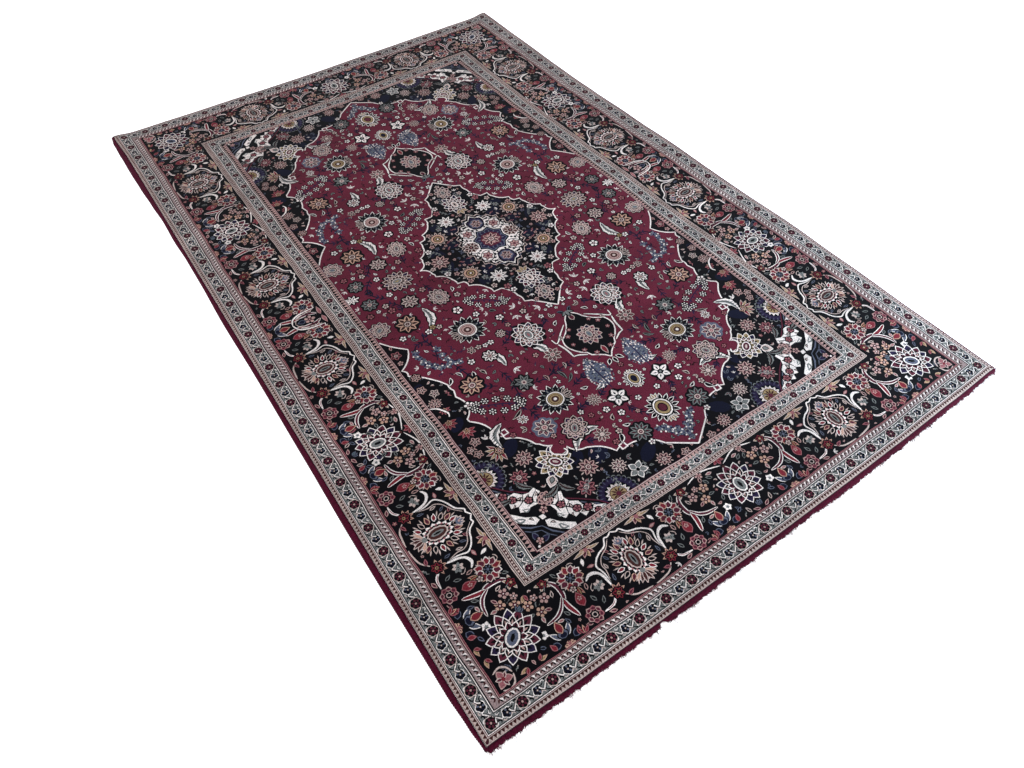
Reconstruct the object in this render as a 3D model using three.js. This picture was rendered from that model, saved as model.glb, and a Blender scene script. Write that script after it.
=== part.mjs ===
// Hand-knotted wool rug lying flat, in millimetres, with +Z up and the floor at z 0.
// One solid of pile cloth, an overcast cord along each long side, and at each end a
// narrow woven end band with its frayed strands.

import * as THREE from "three";

// Main sizes

const PILE_LEFT = -680;
const PILE_RIGHT = 677;
const PILE_NEAR = -1042;
const PILE_FAR = 1043;
const PILE_TOP = 9;
const PIECE_GAP = 0.3;

// The pile is rounded over at its rim: how far in it starts, and how much it drops

const RIM_REACH = 7;
const RIM_DROP = 2.2;

const CORD_HEIGHT = 5.4;
const CORD_FOOT = 1.6;
const RIGHT_CORD_WIDTH = 8;

const BAND_BACK_HEIGHT = 3.8;
const BAND_FRONT_HEIGHT = 2.2;
const FAR_BAND_WIDTH = 8;
const BAND_CORNER = 9;

const NEAR_STRANDS = 140;
const FAR_STRANDS = 104;
const STRAND_WIDTH = 2.1;
const STRAND_TIP = 0.8;
const STRAND_TIP_HEIGHT = 0.9;
const STRAND_LENGTH = 6;
const STRAND_SWAY = 2;

// How far each edge of the pile strays from straight. Columns: place along the edge, offset.

const LEFT_STRAY = [
  [-1042, -1], [-800, -1], [-330, 0], [250, 0.5], [770, 1.5], [900, 1], [1043, -3],
];
const RIGHT_STRAY = [
  [-1042, -1], [-850, 0], [-600, 4], [-450, 6], [-200, 0], [0, 1], [200, -4],
  [400, -8], [480, -10], [600, -8], [850, -3], [1043, 1],
];
const NEAR_STRAY = [
  [-680, 0], [-450, -4], [-270, -5], [-50, -6.5], [170, -6.5], [340, -5], [520, -2], [677, 2],
];
const FAR_STRAY = [
  [-680, 2], [-550, 0], [-380, -4], [-160, -8], [0, -9], [200, -5], [430, -2], [560, 0], [677, 2],
];
const FLARE = 11;
const FLARE_REACH = 60;
const FLARE_START = 900;

// Width of the left cord and of the near band. Columns: place along the edge, width.

const LEFT_CORD_WIDTH = [
  [-1042, 6], [-1000, 9], [-935, 12], [-561, 14], [-374, 12.5], [-94, 11], [94, 12.5],
  [281, 9], [374, 8.5], [468, 11], [561, 9.5], [655, 13], [748, 16], [842, 17], [935, 16],
  [1000, 13], [1043, 8],
];
const NEAR_BAND_WIDTH = [
  [-700, 9], [-600, 9.5], [-430, 8.5], [-316, 6.5], [-302, 6.5], [-240, 10], [-60, 9],
  [60, 8.5], [121, 11], [300, 10], [420, 9.5], [540, 9], [700, 7],
];

const ease = (t) => t * t * (3 - 2 * t);
const clamp01 = (t) => Math.min(1, Math.max(0, t));
const mix = (a, b, t) => a + (b - a) * t;

function fromTable(table, at) {
  if (at <= table[0][0]) return table[0][1];
  for (let i = 1; i < table.length; i += 1) {
    const [a, va] = table[i - 1];
    const [b, vb] = table[i];
    if (at <= b) return mix(va, vb, ease((at - a) / (b - a)));
  }
  return table[table.length - 1][1];
}

// Where a point of the straight layout lies in the real, slightly bowed rug

function place(x, y) {
  const u = (x - PILE_LEFT) / (PILE_RIGHT - PILE_LEFT);
  const v = (y - PILE_NEAR) / (PILE_FAR - PILE_NEAR);
  const side = Math.min(x - PILE_LEFT, PILE_RIGHT - x);
  const flare = FLARE * ease(1 - clamp01(side / FLARE_REACH));
  const farFlare = flare * ease(clamp01((y - FLARE_START) / (PILE_FAR - FLARE_START)));
  const shiftX = mix(fromTable(LEFT_STRAY, y), fromTable(RIGHT_STRAY, y), clamp01(u));
  const shiftY = mix(fromTable(NEAR_STRAY, x), fromTable(FAR_STRAY, x), clamp01(v));
  return [x + shiftX, y + shiftY + farFlare];
}

// Small unevenness of the worn pile

function wave(x, y) {
  const slow = 0.45 * Math.sin(x / 173 + 0.8) * Math.cos(y / 211 - 0.4);
  const quick = 0.22 * Math.sin(x / 61 + y / 97 + 1.7);
  return slow + quick;
}

// One closed solid from columns of points: top and bottom rows of the same length,
// each row given from one side to the other, with walls round the rim

function slab(columns) {
  const rows = columns[0].length;
  const points = [];
  const faces = [];
  columns.forEach((column) => column.forEach(([x, y, top]) => {
    points.push(x, y, top, x, y, 0);
  }));
  const top = (i, j) => 2 * (i * rows + j);
  const bottom = (i, j) => top(i, j) + 1;
  const quad = (a, b, c, d) => faces.push(a, b, c, a, c, d);
  const last = columns.length - 1;
  for (let i = 0; i < last; i += 1) {
    for (let j = 0; j < rows - 1; j += 1) {
      quad(top(i, j), top(i + 1, j), top(i + 1, j + 1), top(i, j + 1));
      quad(bottom(i, j), bottom(i, j + 1), bottom(i + 1, j + 1), bottom(i + 1, j));
    }
    quad(top(i, 0), bottom(i, 0), bottom(i + 1, 0), top(i + 1, 0));
    quad(top(i + 1, rows - 1), bottom(i + 1, rows - 1), bottom(i, rows - 1), top(i, rows - 1));
  }
  for (let j = 0; j < rows - 1; j += 1) {
    quad(top(0, j + 1), bottom(0, j + 1), bottom(0, j), top(0, j));
    quad(top(last, j), bottom(last, j), bottom(last, j + 1), top(last, j + 1));
  }
  return solid(points, faces);
}

function solid(points, faces) {
  const geometry = new THREE.BufferGeometry();
  geometry.setAttribute("position", new THREE.Float32BufferAttribute(points, 3));
  geometry.setIndex(faces);
  geometry.computeVertexNormals();
  return geometry;
}

function piece(name, geometry, color) {
  const material = new THREE.MeshStandardMaterial({ color, roughness: 0.95, metalness: 0 });
  const mesh = new THREE.Mesh(geometry, material);
  mesh.name = name;
  return mesh;
}

// Even steps between two ends, with closer ones along the rounded rim

function stations(from, to, steps) {
  const rim = [0, RIM_REACH * 0.3, RIM_REACH];
  const inner = [];
  for (let i = 1; i < steps; i += 1) {
    inner.push(mix(from + RIM_REACH, to - RIM_REACH, i / steps));
  }
  return [...rim.map((r) => from + r), ...inner, ...rim.map((r) => to - r).reverse()];
}

function rimDrop(distance) {
  const t = clamp01(1 - distance / RIM_REACH);
  return RIM_DROP * t * t;
}

const ACROSS = stations(PILE_LEFT, PILE_RIGHT, 24);
const ALONG = stations(PILE_NEAR, PILE_FAR, 38);

// The pile's end edge is straight between its stations, and the end bands follow it

function endEdge(x, edge) {
  const inside = Math.min(PILE_RIGHT, Math.max(PILE_LEFT, x));
  const i = Math.max(1, ACROSS.findIndex((station) => station >= inside));
  const t = (inside - ACROSS[i - 1]) / (ACROSS[i] - ACROSS[i - 1]);
  const [ax, ay] = place(ACROSS[i - 1], edge);
  const [bx, by] = place(ACROSS[i], edge);
  return [mix(ax, bx, t) + x - inside, mix(ay, by, t)];
}

function makePile() {
  const columns = ACROSS.map((x) => ALONG.map((y) => {
    const rim = Math.min(x - PILE_LEFT, PILE_RIGHT - x, y - PILE_NEAR, PILE_FAR - y);
    const [px, py] = place(x, y);
    return [px, py, PILE_TOP + wave(x, y) - rimDrop(rim)];
  }));
  return slab(columns);
}

// A cord lies on the floor beside the pile: side is -1 for the left and 1 for the right

function makeCord(side, edge, width) {
  const parts = 5;
  const columns = [];
  for (let j = 0; j <= parts; j += 1) {
    const across = side < 0 ? 1 - j / parts : j / parts;
    const bulge = Math.sqrt(Math.max(0, 1 - (2 * across - 1) ** 2));
    const height = CORD_FOOT + (CORD_HEIGHT - CORD_FOOT) * bulge;
    columns.push(ALONG.map((y) => {
      const [px, py] = place(edge, y);
      const uneven = 1 + 0.06 * Math.sin(y / 37 + side);
      return [px + side * (PIECE_GAP + width(y) * across), py, height * uneven];
    }));
  }
  return slab(columns);
}

// Repeatable scatter for the strands

function makeScatter(seed) {
  let state = seed;
  return () => {
    state = (state * 16807) % 2147483647;
    return state / 2147483647;
  };
}

// The end band with its strands, as one solid: end is -1 for the near end, 1 for the far one.
// Two columns of the band belong to each strand, and its root is the band's own front face.

function makeBand(end, count, left, right, width, seed) {
  const scatter = makeScatter(seed);
  const points = [];
  const faces = [];
  const quad = (a, b, c, d) => (end < 0 ? faces.push(a, b, c, a, c, d) : faces.push(a, c, b, a, d, c));
  const edge = end < 0 ? PILE_NEAR : PILE_FAR;
  const pitch = (right - left) / count;

  const column = (x) => {
    const [px, py] = endEdge(x, edge);
    const fromEnd = Math.min(x - left, right - x);
    const r = Math.max(0, BAND_CORNER - fromEnd);
    const round = BAND_CORNER - Math.sqrt(BAND_CORNER ** 2 - Math.min(r, BAND_CORNER * 0.92) ** 2);
    const lump = 0.25 * Math.sin(x / 23 + 2 * end);
    const back = py + end * PIECE_GAP;
    const front = py + end * (PIECE_GAP + Math.max(width(x) - round, 2));
    const first = points.length / 3;
    points.push(px, back, BAND_BACK_HEIGHT + lump, px, back, 0);
    points.push(px, front, BAND_FRONT_HEIGHT, px, front, 0);
    return { first, x: px, front };
  };

  const ring = (x, y, halfWidth, height) => {
    const first = points.length / 3;
    points.push(x - halfWidth, y, height, x - halfWidth, y, 0);
    points.push(x + halfWidth, y, height, x + halfWidth, y, 0);
    return [first, first + 1, first + 3, first + 2];
  };

  // Rings run from the top left corner down, across the floor and up again
  const join = (a, b) => {
    quad(a[0], a[1], b[1], b[0]);
    quad(a[1], a[2], b[2], b[1]);
    quad(a[2], a[3], b[3], b[2]);
    quad(a[3], a[0], b[0], b[3]);
  };

  const link = (a, b, hasStrand) => {
    quad(a.first, a.first + 2, b.first + 2, b.first);
    quad(a.first + 1, b.first + 1, b.first + 3, a.first + 3);
    quad(a.first + 1, a.first, b.first, b.first + 1);
    if (!hasStrand) quad(a.first + 2, a.first + 3, b.first + 3, b.first + 2);
  };

  const strand = (a, b) => {
    const length = STRAND_LENGTH * (0.35 + 1.15 * scatter());
    const sway = STRAND_SWAY * (2 * scatter() - 1);
    const root = [a.first + 2, a.first + 3, b.first + 3, b.first + 2];
    const midX = (a.x + b.x) / 2;
    const start = (a.front + b.front) / 2;
    const middle = ring(midX + sway * 0.3, start + end * length * 0.5, STRAND_WIDTH * 0.42, 1.6);
    const tip = ring(midX + sway, start + end * length, STRAND_TIP / 2, STRAND_TIP_HEIGHT);
    join(root, middle);
    join(middle, tip);
    quad(tip[0], tip[1], tip[2], tip[3]);
  };

  let before = column(left);
  const firstColumn = before.first;
  const bandTo = (x) => {
    ACROSS.filter((station) => station > before.x + 0.1 && station < x - 0.1).forEach((station) => {
      const corner = column(station);
      link(before, corner, false);
      before = corner;
    });
  };
  for (let i = 0; i < count; i += 1) {
    const wanted = left + pitch * (i + 0.5 + 0.3 * (scatter() - 0.5));
    const station = ACROSS.find((x) => Math.abs(x - wanted) < STRAND_WIDTH);
    const middle = station === undefined ? wanted : station + STRAND_WIDTH;
    const half = STRAND_WIDTH * (0.4 + 0.2 * scatter());
    bandTo(middle - half);
    const a = column(middle - half);
    const b = column(middle + half);
    link(before, a, false);
    link(a, b, true);
    strand(a, b);
    before = b;
  }
  bandTo(right);
  const end1 = column(right);
  link(before, end1, false);
  quad(firstColumn, firstColumn + 1, firstColumn + 3, firstColumn + 2);
  quad(end1.first + 2, end1.first + 3, end1.first + 1, end1.first);
  return solid(points, faces);
}

const CRIMSON = 0x6b1730;
const leftCordWidth = (y) => fromTable(LEFT_CORD_WIDTH, y);
const rightCordWidth = () => RIGHT_CORD_WIDTH;
const nearBandWidth = (x) => fromTable(NEAR_BAND_WIDTH, x);
const farBandWidth = () => FAR_BAND_WIDTH;
const outerLeft = (y) => PILE_LEFT - PIECE_GAP - leftCordWidth(y);
const outerRight = PILE_RIGHT + PIECE_GAP + RIGHT_CORD_WIDTH;

const group = new THREE.Group();
group.name = "persian_rug";
group.add(piece("rug_pile", makePile(), 0x5a2a38));
group.add(piece("side_cord_left", makeCord(-1, PILE_LEFT, leftCordWidth), CRIMSON));
group.add(piece("side_cord_right", makeCord(1, PILE_RIGHT, rightCordWidth), CRIMSON));
group.add(piece("end_fringe_near",
  makeBand(-1, NEAR_STRANDS, outerLeft(PILE_NEAR), outerRight, nearBandWidth, 411), CRIMSON));
group.add(piece("end_fringe_far",
  makeBand(1, FAR_STRANDS, outerLeft(PILE_FAR), outerRight, farBandWidth, 907), CRIMSON));

// The whole rug is set with the middle of its box over the origin

group.updateMatrixWorld(true);
const box = new THREE.Box3().setFromObject(group);
const middle = box.getCenter(new THREE.Vector3());
group.children.forEach((mesh) => mesh.geometry.translate(-middle.x, -middle.y, -box.min.z));

export default group;
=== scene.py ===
# A hand-knotted wool rug lying flat. Small motif functions draw one quarter of the pattern as
# flat shapes in painting order. The shapes are joined into one mesh, mirrored and laid on the
# pile. The drawing is in millimetres, the scene in metres.

import math
import random

import bpy
import numpy as np
from mathutils import Matrix, Vector
from mathutils.bvhtree import BVHTree
from mathutils.geometry import delaunay_2d_cdt


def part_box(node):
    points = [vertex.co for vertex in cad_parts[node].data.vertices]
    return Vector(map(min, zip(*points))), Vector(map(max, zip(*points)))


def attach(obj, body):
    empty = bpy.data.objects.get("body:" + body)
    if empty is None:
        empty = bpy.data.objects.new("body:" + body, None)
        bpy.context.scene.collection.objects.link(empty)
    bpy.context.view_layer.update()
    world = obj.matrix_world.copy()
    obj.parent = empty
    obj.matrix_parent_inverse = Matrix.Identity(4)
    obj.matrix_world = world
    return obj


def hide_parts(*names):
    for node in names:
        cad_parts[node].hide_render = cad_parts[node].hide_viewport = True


MM = 0.001
random.seed(7)

# Yarn colours, as sRGB

YARNS = {
    "crimson": (95, 30, 47), "wine": (82, 30, 44), "night": (5, 3, 7), "navy": (13, 14, 34),
    "ivory": (230, 218, 212), "cream": (192, 170, 162), "pink": (176, 140, 134),
    "rose": (146, 88, 92), "peach": (188, 148, 128), "red": (116, 34, 44),
    "slate": (86, 90, 106), "violet": (36, 27, 54), "gold": (150, 126, 90),
    "sage": (112, 113, 111), "dust": (146, 124, 122), "brown": (64, 34, 32),
    "edge": (76, 12, 35), "warp": (236, 226, 222), "teal": (66, 84, 86),
}
NAMES = list(YARNS)

# Half sizes of the drawing: the pile's rim, the main border's two edges, the field

HALF_X, HALF_Y = 678.5, 1042.5
BORDER_X = (475.0, 617.0)
BORDER_Y = (854.0, 987.0)
FIELD_X, FIELD_Y = 415.0, 807.0


# Drawing tools

SHAPES = []


def start_zone():
    """Begins a new list of shapes and hands it over."""
    global SHAPES
    SHAPES = []
    return SHAPES


class Spot:
    """A place in the drawing with its own turn, size and mirror."""

    def __init__(self, x, y, turn=0.0, size=1.0, flip=1, within=None):
        c, s = math.cos(math.radians(turn)) * size, math.sin(math.radians(turn)) * size
        own = np.array([[c, -s * flip, x], [s, c * flip, y], [0, 0, 1]])
        self.matrix = own if within is None else within.matrix @ own

    def at(self, x, y, turn=0.0, size=1.0, flip=1):
        return Spot(x, y, turn, size, flip, self)

    def turned(self, turn):
        return self.at(0, 0, turn)

    def fill(self, colour, points):
        world = [(self.matrix @ (x, y, 1))[:2] for x, y in points]
        SHAPES.append((NAMES.index(colour), world))

    def disc(self, colour, *size, **more):
        self.fill(colour, disc(*size, **more))

    def scallop(self, colour, *size, **more):
        self.fill(colour, scallop(*size, **more))

    def line(self, colour, *way, **more):
        self.fill(colour, ribbon(*way, **more))

    def leaf(self, colour, length, width, start=0.0, steps=3, bend=0.0, teeth=0.0):
        self.fill(colour, leaf(length, width, bend, steps, teeth, start))


ORIGIN = Spot(0, 0)
STEP = 12.0


def in_steps(corners):
    """A closed outline with a point at least every STEP, so that it can bow with the rug."""
    points = []
    for (ax, ay), (bx, by) in zip(corners, corners[1:] + corners[:1]):
        count = max(1, math.ceil(math.dist((ax, ay), (bx, by)) / STEP))
        points += [(ax + (bx - ax) * i / count, ay + (by - ay) * i / count) for i in range(count)]
    return points


def disc(rx, ry=None, count=10, x=0.0, y=0.0):
    ry = rx if ry is None else ry
    turns = [2 * math.pi * i / count for i in range(count)]
    return [(x + rx * math.cos(a), y + ry * math.sin(a)) for a in turns]


def scallop(radius, lobes, depth=0.16, steps=4, phase=0.0, ry=None):
    """A closed outline with round lobes and sharp notches between them."""
    tall = 1.0 if ry is None else ry / radius
    points = []
    for i in range(lobes * steps):
        a = 2 * math.pi * (i / steps + phase) / lobes
        r = radius * (1 - depth * (1 - abs(math.sin(math.pi * i / steps)) ** 0.7))
        points.append((r * math.cos(a), tall * r * math.sin(a)))
    return points


def star(radius, spikes, depth=0.3, phase=0.0):
    points = []
    for i in range(2 * spikes):
        a = math.pi * (i + 2 * phase) / spikes
        r = radius if i % 2 == 0 else radius * (1 - depth)
        points.append((r * math.cos(a), r * math.sin(a)))
    return points


def leaf(length, width, bend=0.0, steps=5, teeth=0.0, start=0.0):
    """A pointed leaf from start along +x, bowed to one side by bend."""
    upper, lower = [], []
    for i in range(1, steps):
        t = i / steps
        middle = bend * 4 * t * (1 - t)
        half = width / 2 * math.sin(math.pi * t ** 0.8)
        half *= 1 + (teeth if i % 2 else -teeth)
        upper.append((start + length * t, middle + half))
        lower.append((start + length * t, middle - half))
    return [(start, 0.0)] + lower + [(start + length, 0.0)] + upper[::-1]


def smooth(points, steps=4):
    """A soft curve through the points."""
    p = [points[0]] + list(points) + [points[-1]]
    curve = []
    for i in range(1, len(p) - 2):
        for k in range(steps):
            t = k / steps
            curve.append(tuple(
                0.5 * (2 * p[i][c] + (p[i + 1][c] - p[i - 1][c]) * t
                       + (2 * p[i - 1][c] - 5 * p[i][c] + 4 * p[i + 1][c] - p[i + 2][c]) * t * t
                       + (3 * p[i][c] - p[i - 1][c] - 3 * p[i + 1][c] + p[i + 2][c]) * t ** 3)
                for c in (0, 1)))
    return curve + [tuple(points[-1])]


def ribbon(points, width, soft=True, steps=4, taper=0.35, ends=True):
    """A band along the points, narrower at its ends."""
    line = np.array(smooth(points, steps) if soft else points, float)
    ahead = np.gradient(line, axis=0)
    ahead /= np.maximum(np.linalg.norm(ahead, axis=1, keepdims=True), 1e-9)
    across = np.stack([-ahead[:, 1], ahead[:, 0]], 1)
    t = np.linspace(0, 1, len(line))[:, None]
    half = width / 2 * (taper + (1 - taper) * np.sin(math.pi * t) ** 0.6 if ends else 1.0 + 0 * t)
    return [tuple(q) for q in line + across * half] + [tuple(q) for q in (line - across * half)[::-1]]


def arcs(rows):
    """A line of corners joined by arcs. Columns: x, y, how far the arc to the next bows out."""
    points = []
    for (x, y, bow), (nx, ny, _) in zip(rows, rows[1:]):
        chord = math.hypot(nx - x, ny - y)
        steps = max(1, min(7, int(abs(bow) / 2) + 2)) if bow else 1
        for k in range(steps):
            t = k / steps
            out = bow * 4 * t * (1 - t)
            points.append((x + (nx - x) * t + out * (ny - y) / chord,
                           y + (ny - y) * t - out * (nx - x) / chord))
    return points + [tuple(rows[-1][:2])]


# Flowers and leaves. Each petal has an outline one knot line wide round its own fill.

LINE = 1.7
SIDES = (-1, 1)


def petal(spot, length, width, edge="ivory", fill="wine", start=0.0, rim=None, steps=4, bend=0.0):
    if rim:
        spot.fill(rim, leaf(length + 2.4, width + 3.0, bend, steps, 0, start - 0.8))
    spot.fill(edge, leaf(length, width, bend, steps, 0, start))
    inner = max(width - 2 * LINE, width * 0.34)
    short = max(length - 2.6 * LINE, length * 0.5)
    spot.fill(fill, leaf(short, inner, bend * 0.8, steps, 0, start + LINE))


def fan(spot, turns, length, width, edge, fill, start=0.0, rim="night", steps=4):
    """The same petal at several turns."""
    for turn in turns:
        petal(spot.turned(turn), length, width, edge, fill, start, rim, steps)


def scatter(spot, length, width, start, rows):
    """Small dark-rimmed petals. Columns: x, y, turn, edge, fill."""
    for x, y, turn, edge, fill in rows:
        petal(spot.at(x, y, turn), length, width, edge, fill, start, "night")


def rings(spot, r, *rows):
    """Discs inside each other. Columns: colour, size as a share of r, corners."""
    for colour, size, count in rows:
        spot.disc(colour, r * size, count=count)


def rosette(spot, r, lobes=8, rim="night", tone="pink", heart="wine", eye="cream"):
    """Broad petals, outlined or with a dark dash, round a ringed heart."""
    if rim:
        spot.scallop(rim, r * 1.14, lobes, 0.12, 4)
    wide = 1.8 * r * 0.68 * math.sin(math.pi / lobes)
    dark = tone in ("night", "navy")
    for i in range(lobes):
        p = spot.turned(360 * (i + 0.5) / lobes)
        p.leaf("cream" if dark else tone, r * 0.72, wide, r * 0.28, 5)
        p.leaf(tone if dark else "night", r * 0.56, wide * (0.66 if dark else 0.5), r * 0.33, 4)
        if r > 15:
            p.leaf("rose" if dark else heart, r * 0.3, wide * 0.24, r * 0.46)
    rings(spot, r, ("night", 0.38, 8), (eye, 0.3, 7), (heart, 0.19, 6))
    if r > 15:
        spot.disc(eye, r * 0.07, count=4)


def daisy(spot, r, count=8, rim="night", tone="ivory", heart="wine", eye="cream"):
    spot.scallop(rim, r * 1.12, count, 0.2)
    for i in range(count):
        p = spot.turned(360 * (i + 0.5) / count)
        p.leaf(tone, r * 0.84, 1.7 * r * 0.6 * math.sin(math.pi / count), r * 0.18, 5)
        p.leaf("night", r * 0.46, r * 0.14, r * 0.32)
    rings(spot, r, (heart, 0.3, 8), (eye, 0.15, 5))


def bloom(spot, r, tone="pink", heart="wine", rim=None, lobes=5):
    """A small round-petalled blossom."""
    if rim:
        spot.disc(rim, r * 1.16, count=9)
    far = r * 0.62
    size = min(r * 0.42, 0.86 * far * math.sin(math.pi / lobes))
    for i in range(lobes):
        a = math.radians(360 * i / lobes + 90)
        spot.disc(tone, size, count=6, x=far * math.cos(a), y=far * math.sin(a))
    rings(spot, r, (heart, 0.34, 6), (tone, 0.15, 4))


def lotus(spot, r, tall=1.1, count=12, edge="ivory", fill="wine", core="sage", eye="night"):
    """A palmette along +y: three rings of outlined petals round an oval heart."""
    spot.scallop("night", r * 1.08, count, 0.2, 4, 0.0, r * 1.08 * tall)
    for reach, start, phase, tone, many in (
            (1.0, 0.46, 0.0, fill, count), (0.76, 0.3, 0.5, "night", count),
            (0.56, 0.2, 0.0, fill, count - 3)):
        vein = "pink" if tone == "night" else "night"
        for i in range(many):
            a = 2 * math.pi * (i + phase) / many + math.pi / 2
            stretch = math.hypot(math.cos(a), math.sin(a) * tall) * (1 + 0.06 * math.sin(a))
            turn = math.degrees(math.atan2(math.sin(a) * tall, math.cos(a)))
            wide = 5.6 * r * reach / many
            p = spot.turned(turn + 3 * math.sin(5 * i))
            inside = "violet" if reach == 1.0 and i % 2 else tone
            petal(p, r * (reach - start) * stretch, wide, edge, inside, r * start * stretch)
            p.leaf(vein, r * 0.24, wide * 0.24, r * (start + 0.1) * stretch)
    for colour, rx, ry, corners in (
            ("night", 0.33, 0.42, 10), (edge, 0.27, 0.36, 10), (core, 0.2, 0.29, 10), (eye, 0.08, 0.17, 5)):
        spot.disc(colour, r * rx, r * ry * tall, corners)


def wreath(spot, rx=42, ry=50):
    """The border's oval wreath of petals, with a blue finial on top and leaves below."""
    spot.disc("night", rx * 0.9, ry * 0.94, 18)
    count = 18
    for i in range(count):
        a = 2 * math.pi * (i + 0.5) / count
        x, y = math.cos(a), math.sin(a)
        turn = math.degrees(math.atan2(y * ry, x * rx)) + 10 * x
        p = spot.at(x * rx * 0.58, y * ry * 0.6, turn)
        petal(p, rx * 0.44, rx * 0.24, ("peach", "cream", "ivory")[i % 3], ("wine", "night", "red")[i % 3])
        a += math.pi / count
        spot.at(math.cos(a) * rx * 0.8, math.sin(a) * ry * 0.82, turn + 10).leaf("cream", rx * 0.3, rx * 0.07)
    spot.disc("night", rx * 0.6, ry * 0.66, 16)
    for colour, wide, tall, outline in (
            ("ivory", 0.56, 0.64, star(1, 14, 0.2)), ("rose", 0.47, 0.55, star(1, 14, 0.2, 0.5)),
            ("night", 0.43, 0.52, star(1, 14, 0.14)), ("cream", 0.35, 0.45, star(1, 12, 0.12))):
        spot.fill(colour, [(x * rx * wide, y * ry * tall) for x, y in outline])
    for colour, wide, tall, corners in (
            ("brown", 0.26, 0.37, 12), ("sage", 0.11, 0.27, 8), ("night", 0.05, 0.17, 6)):
        spot.disc(colour, rx * wide, ry * tall, corners)
    top = spot.at(0, ry * 0.8, 90)
    for turn in (-60, 60, -30, 30, 0):
        petal(top.turned(turn), 17 - abs(turn) * 0.05, 8.5, "cream", "slate")
    spot.disc("slate", 7, 5.5, 8, y=ry * 0.86)
    spot.disc("pink", 3, 2.6, 6, y=ry * 0.9)
    base = spot.at(0, -ry * 0.56, -90)
    fan(base, (-66, 66), 26, 10, "cream", "peach", rim=None)
    fan(base, (-40, 40, -16, 16), 26, 10, "cream", "brown", rim=None)
    spot.disc("sage", 6, 5, 8, y=-ry * 0.54)


def saz(spot, length, width, bend, light="ivory", dark="night", vein="sage"):
    """A long curved leaf with dark strokes across its feathered outer edge."""
    out = 1 if bend > 0 else -1
    spot.leaf(dark, length * 1.08, width * 1.34, -length * 0.04, 9, bend, 0.1)
    spot.leaf(light, length, width, 0, 9, bend, 0.14)
    spot.leaf(vein, length * 0.92, width * 0.52, length * 0.03, 8, bend * 0.82, 0.1)
    for i in range(8):
        t = (i + 0.8) / 9
        spot.at(length * t, bend * 4 * t * (1 - t), out * 38).leaf(dark, width * 0.7, 2.4, -width * 0.2)
    spot.leaf(light, length * 0.8, width * 0.14, length * 0.1, 6, bend * 0.6)


def stipple(spot, points, size, tones):
    """Little flecks that stand for a spray of tiny leaves."""
    for i, (x, y) in enumerate(points):
        p = spot.at(x, y, 77 * i)
        p.disc("navy", size * 1.1, size * 0.9, 5, x=0.8)
        p.disc(tones[i % len(tones)], size, size * 0.74, 5)


def feather(spot, length, width):
    """An upright plume of small leaves."""
    points = []
    for i in range(17):
        t = (i + 0.5) / 17
        half = width / 2 * math.sin(math.pi * (0.1 + 0.86 * t) ** 0.85)
        for k in (-1.0, -0.74, -0.48, -0.2, 0.2, 0.48, 0.74, 1.0):
            x = length * (t - 0.03 * abs(k)) + random.uniform(-1.6, 1.6)
            points.append((x, half * k + random.uniform(-1.6, 1.6)))
    random.shuffle(points)
    spot.leaf("slate", length * 1.02, width * 0.96, -length * 0.02, 9, 0, 0.12)
    stipple(spot, points, 2.5, ("slate", "cream", "slate", "ivory", "sage", "ivory", "violet"))
    spot.line("violet", [(-16, 2), (length * 0.3, 1), (length * 0.8, 0)], 3.4)


def chain(spot, rx, ry, count, r):
    """A paisley outlined by small dark blossoms."""
    spot.line("violet", [(-rx * 0.9, -2), (0, 3), (rx * 0.8, -1)], 3.0)
    for i in range(6):
        for side in SIDES:
            spot.at(rx * (-0.7 + 0.27 * i), 0, side * 40).leaf("violet", ry * 0.44, 4)
    for i in range(count):
        a = 2 * math.pi * (i + 0.5) / (count + 0.4)
        squeeze = 1 - 0.3 * max(0.0, math.cos(a)) ** 2
        p = spot.at(rx * math.cos(a), ry * squeeze * math.sin(a), 30 * i)
        p.disc("night", r * 1.16, count=8)
        for k in range(6):
            p.turned(60 * k).leaf("ivory", r * 0.5, r * 0.42, r * 0.52)
        rings(p, r, ("ivory", 0.3, 5), ("night", 0.13, 4))


def eye_flower(spot, r, ring="gold", heart="brown", middle="ivory"):
    """A ringed palmette with an eye, its finial along +x."""
    fan(spot, [360 / 13 * i for i in range(13)], r * 0.62, r * 0.34, "ivory", "night", r * 0.58)
    for i in range(13):
        p = spot.turned(360 / 13 * (i + 0.5))
        p.leaf("night" if i % 3 else "navy", r * 0.5, r * 0.3, r * 0.5, 4)
        p.leaf("sage", r * 0.26, r * 0.1, r * 0.62)
    rings(spot, r, ("night", 0.64, 16), ("ivory", 0.58, 16), ("night", 0.5, 16), (ring, 0.47, 16),
          ("brown", 0.38, 16), (ring, 0.34, 16), (heart, 0.25, 10), (middle, 0.11, 10))
    fan(spot.at(r * 0.62, 0), (-60, 60, -28, 28, 0), r * 0.56, r * 0.24, "cream", "night")


def oval_palmette(spot, r, tall=1.25, ring="gold", heart="wine"):
    """A palmette on the axis: black and white petals round an oval of rings."""
    fan(spot, [360 * (i + 0.5) / 14 for i in range(14)], r * 0.56, r * 0.3, "ivory", "night", r * 0.56)
    for size, colour in (
            (0.66, "night"), (0.58, "ivory"), (0.49, "night"), (0.44, ring), (0.3, "night"), (0.24, heart)):
        spot.disc(colour, r * size, r * size * tall, 14)
    for side in SIDES:
        fan(spot.at(0, side * r * 0.75, side * 90), (-40, 40, 0), r * 0.5, r * 0.24, "ivory", ring)


def sprig(spot, length, count=4):
    spot.line("sage", [(0, 0), (length * 0.5, 2), (length, 0)], 1.6)
    for i in range(count):
        for side in SIDES:
            spot.at(length * (i + 0.6) / count, 0, side * 48).leaf("sage", length * 0.26, length * 0.11)


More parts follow.
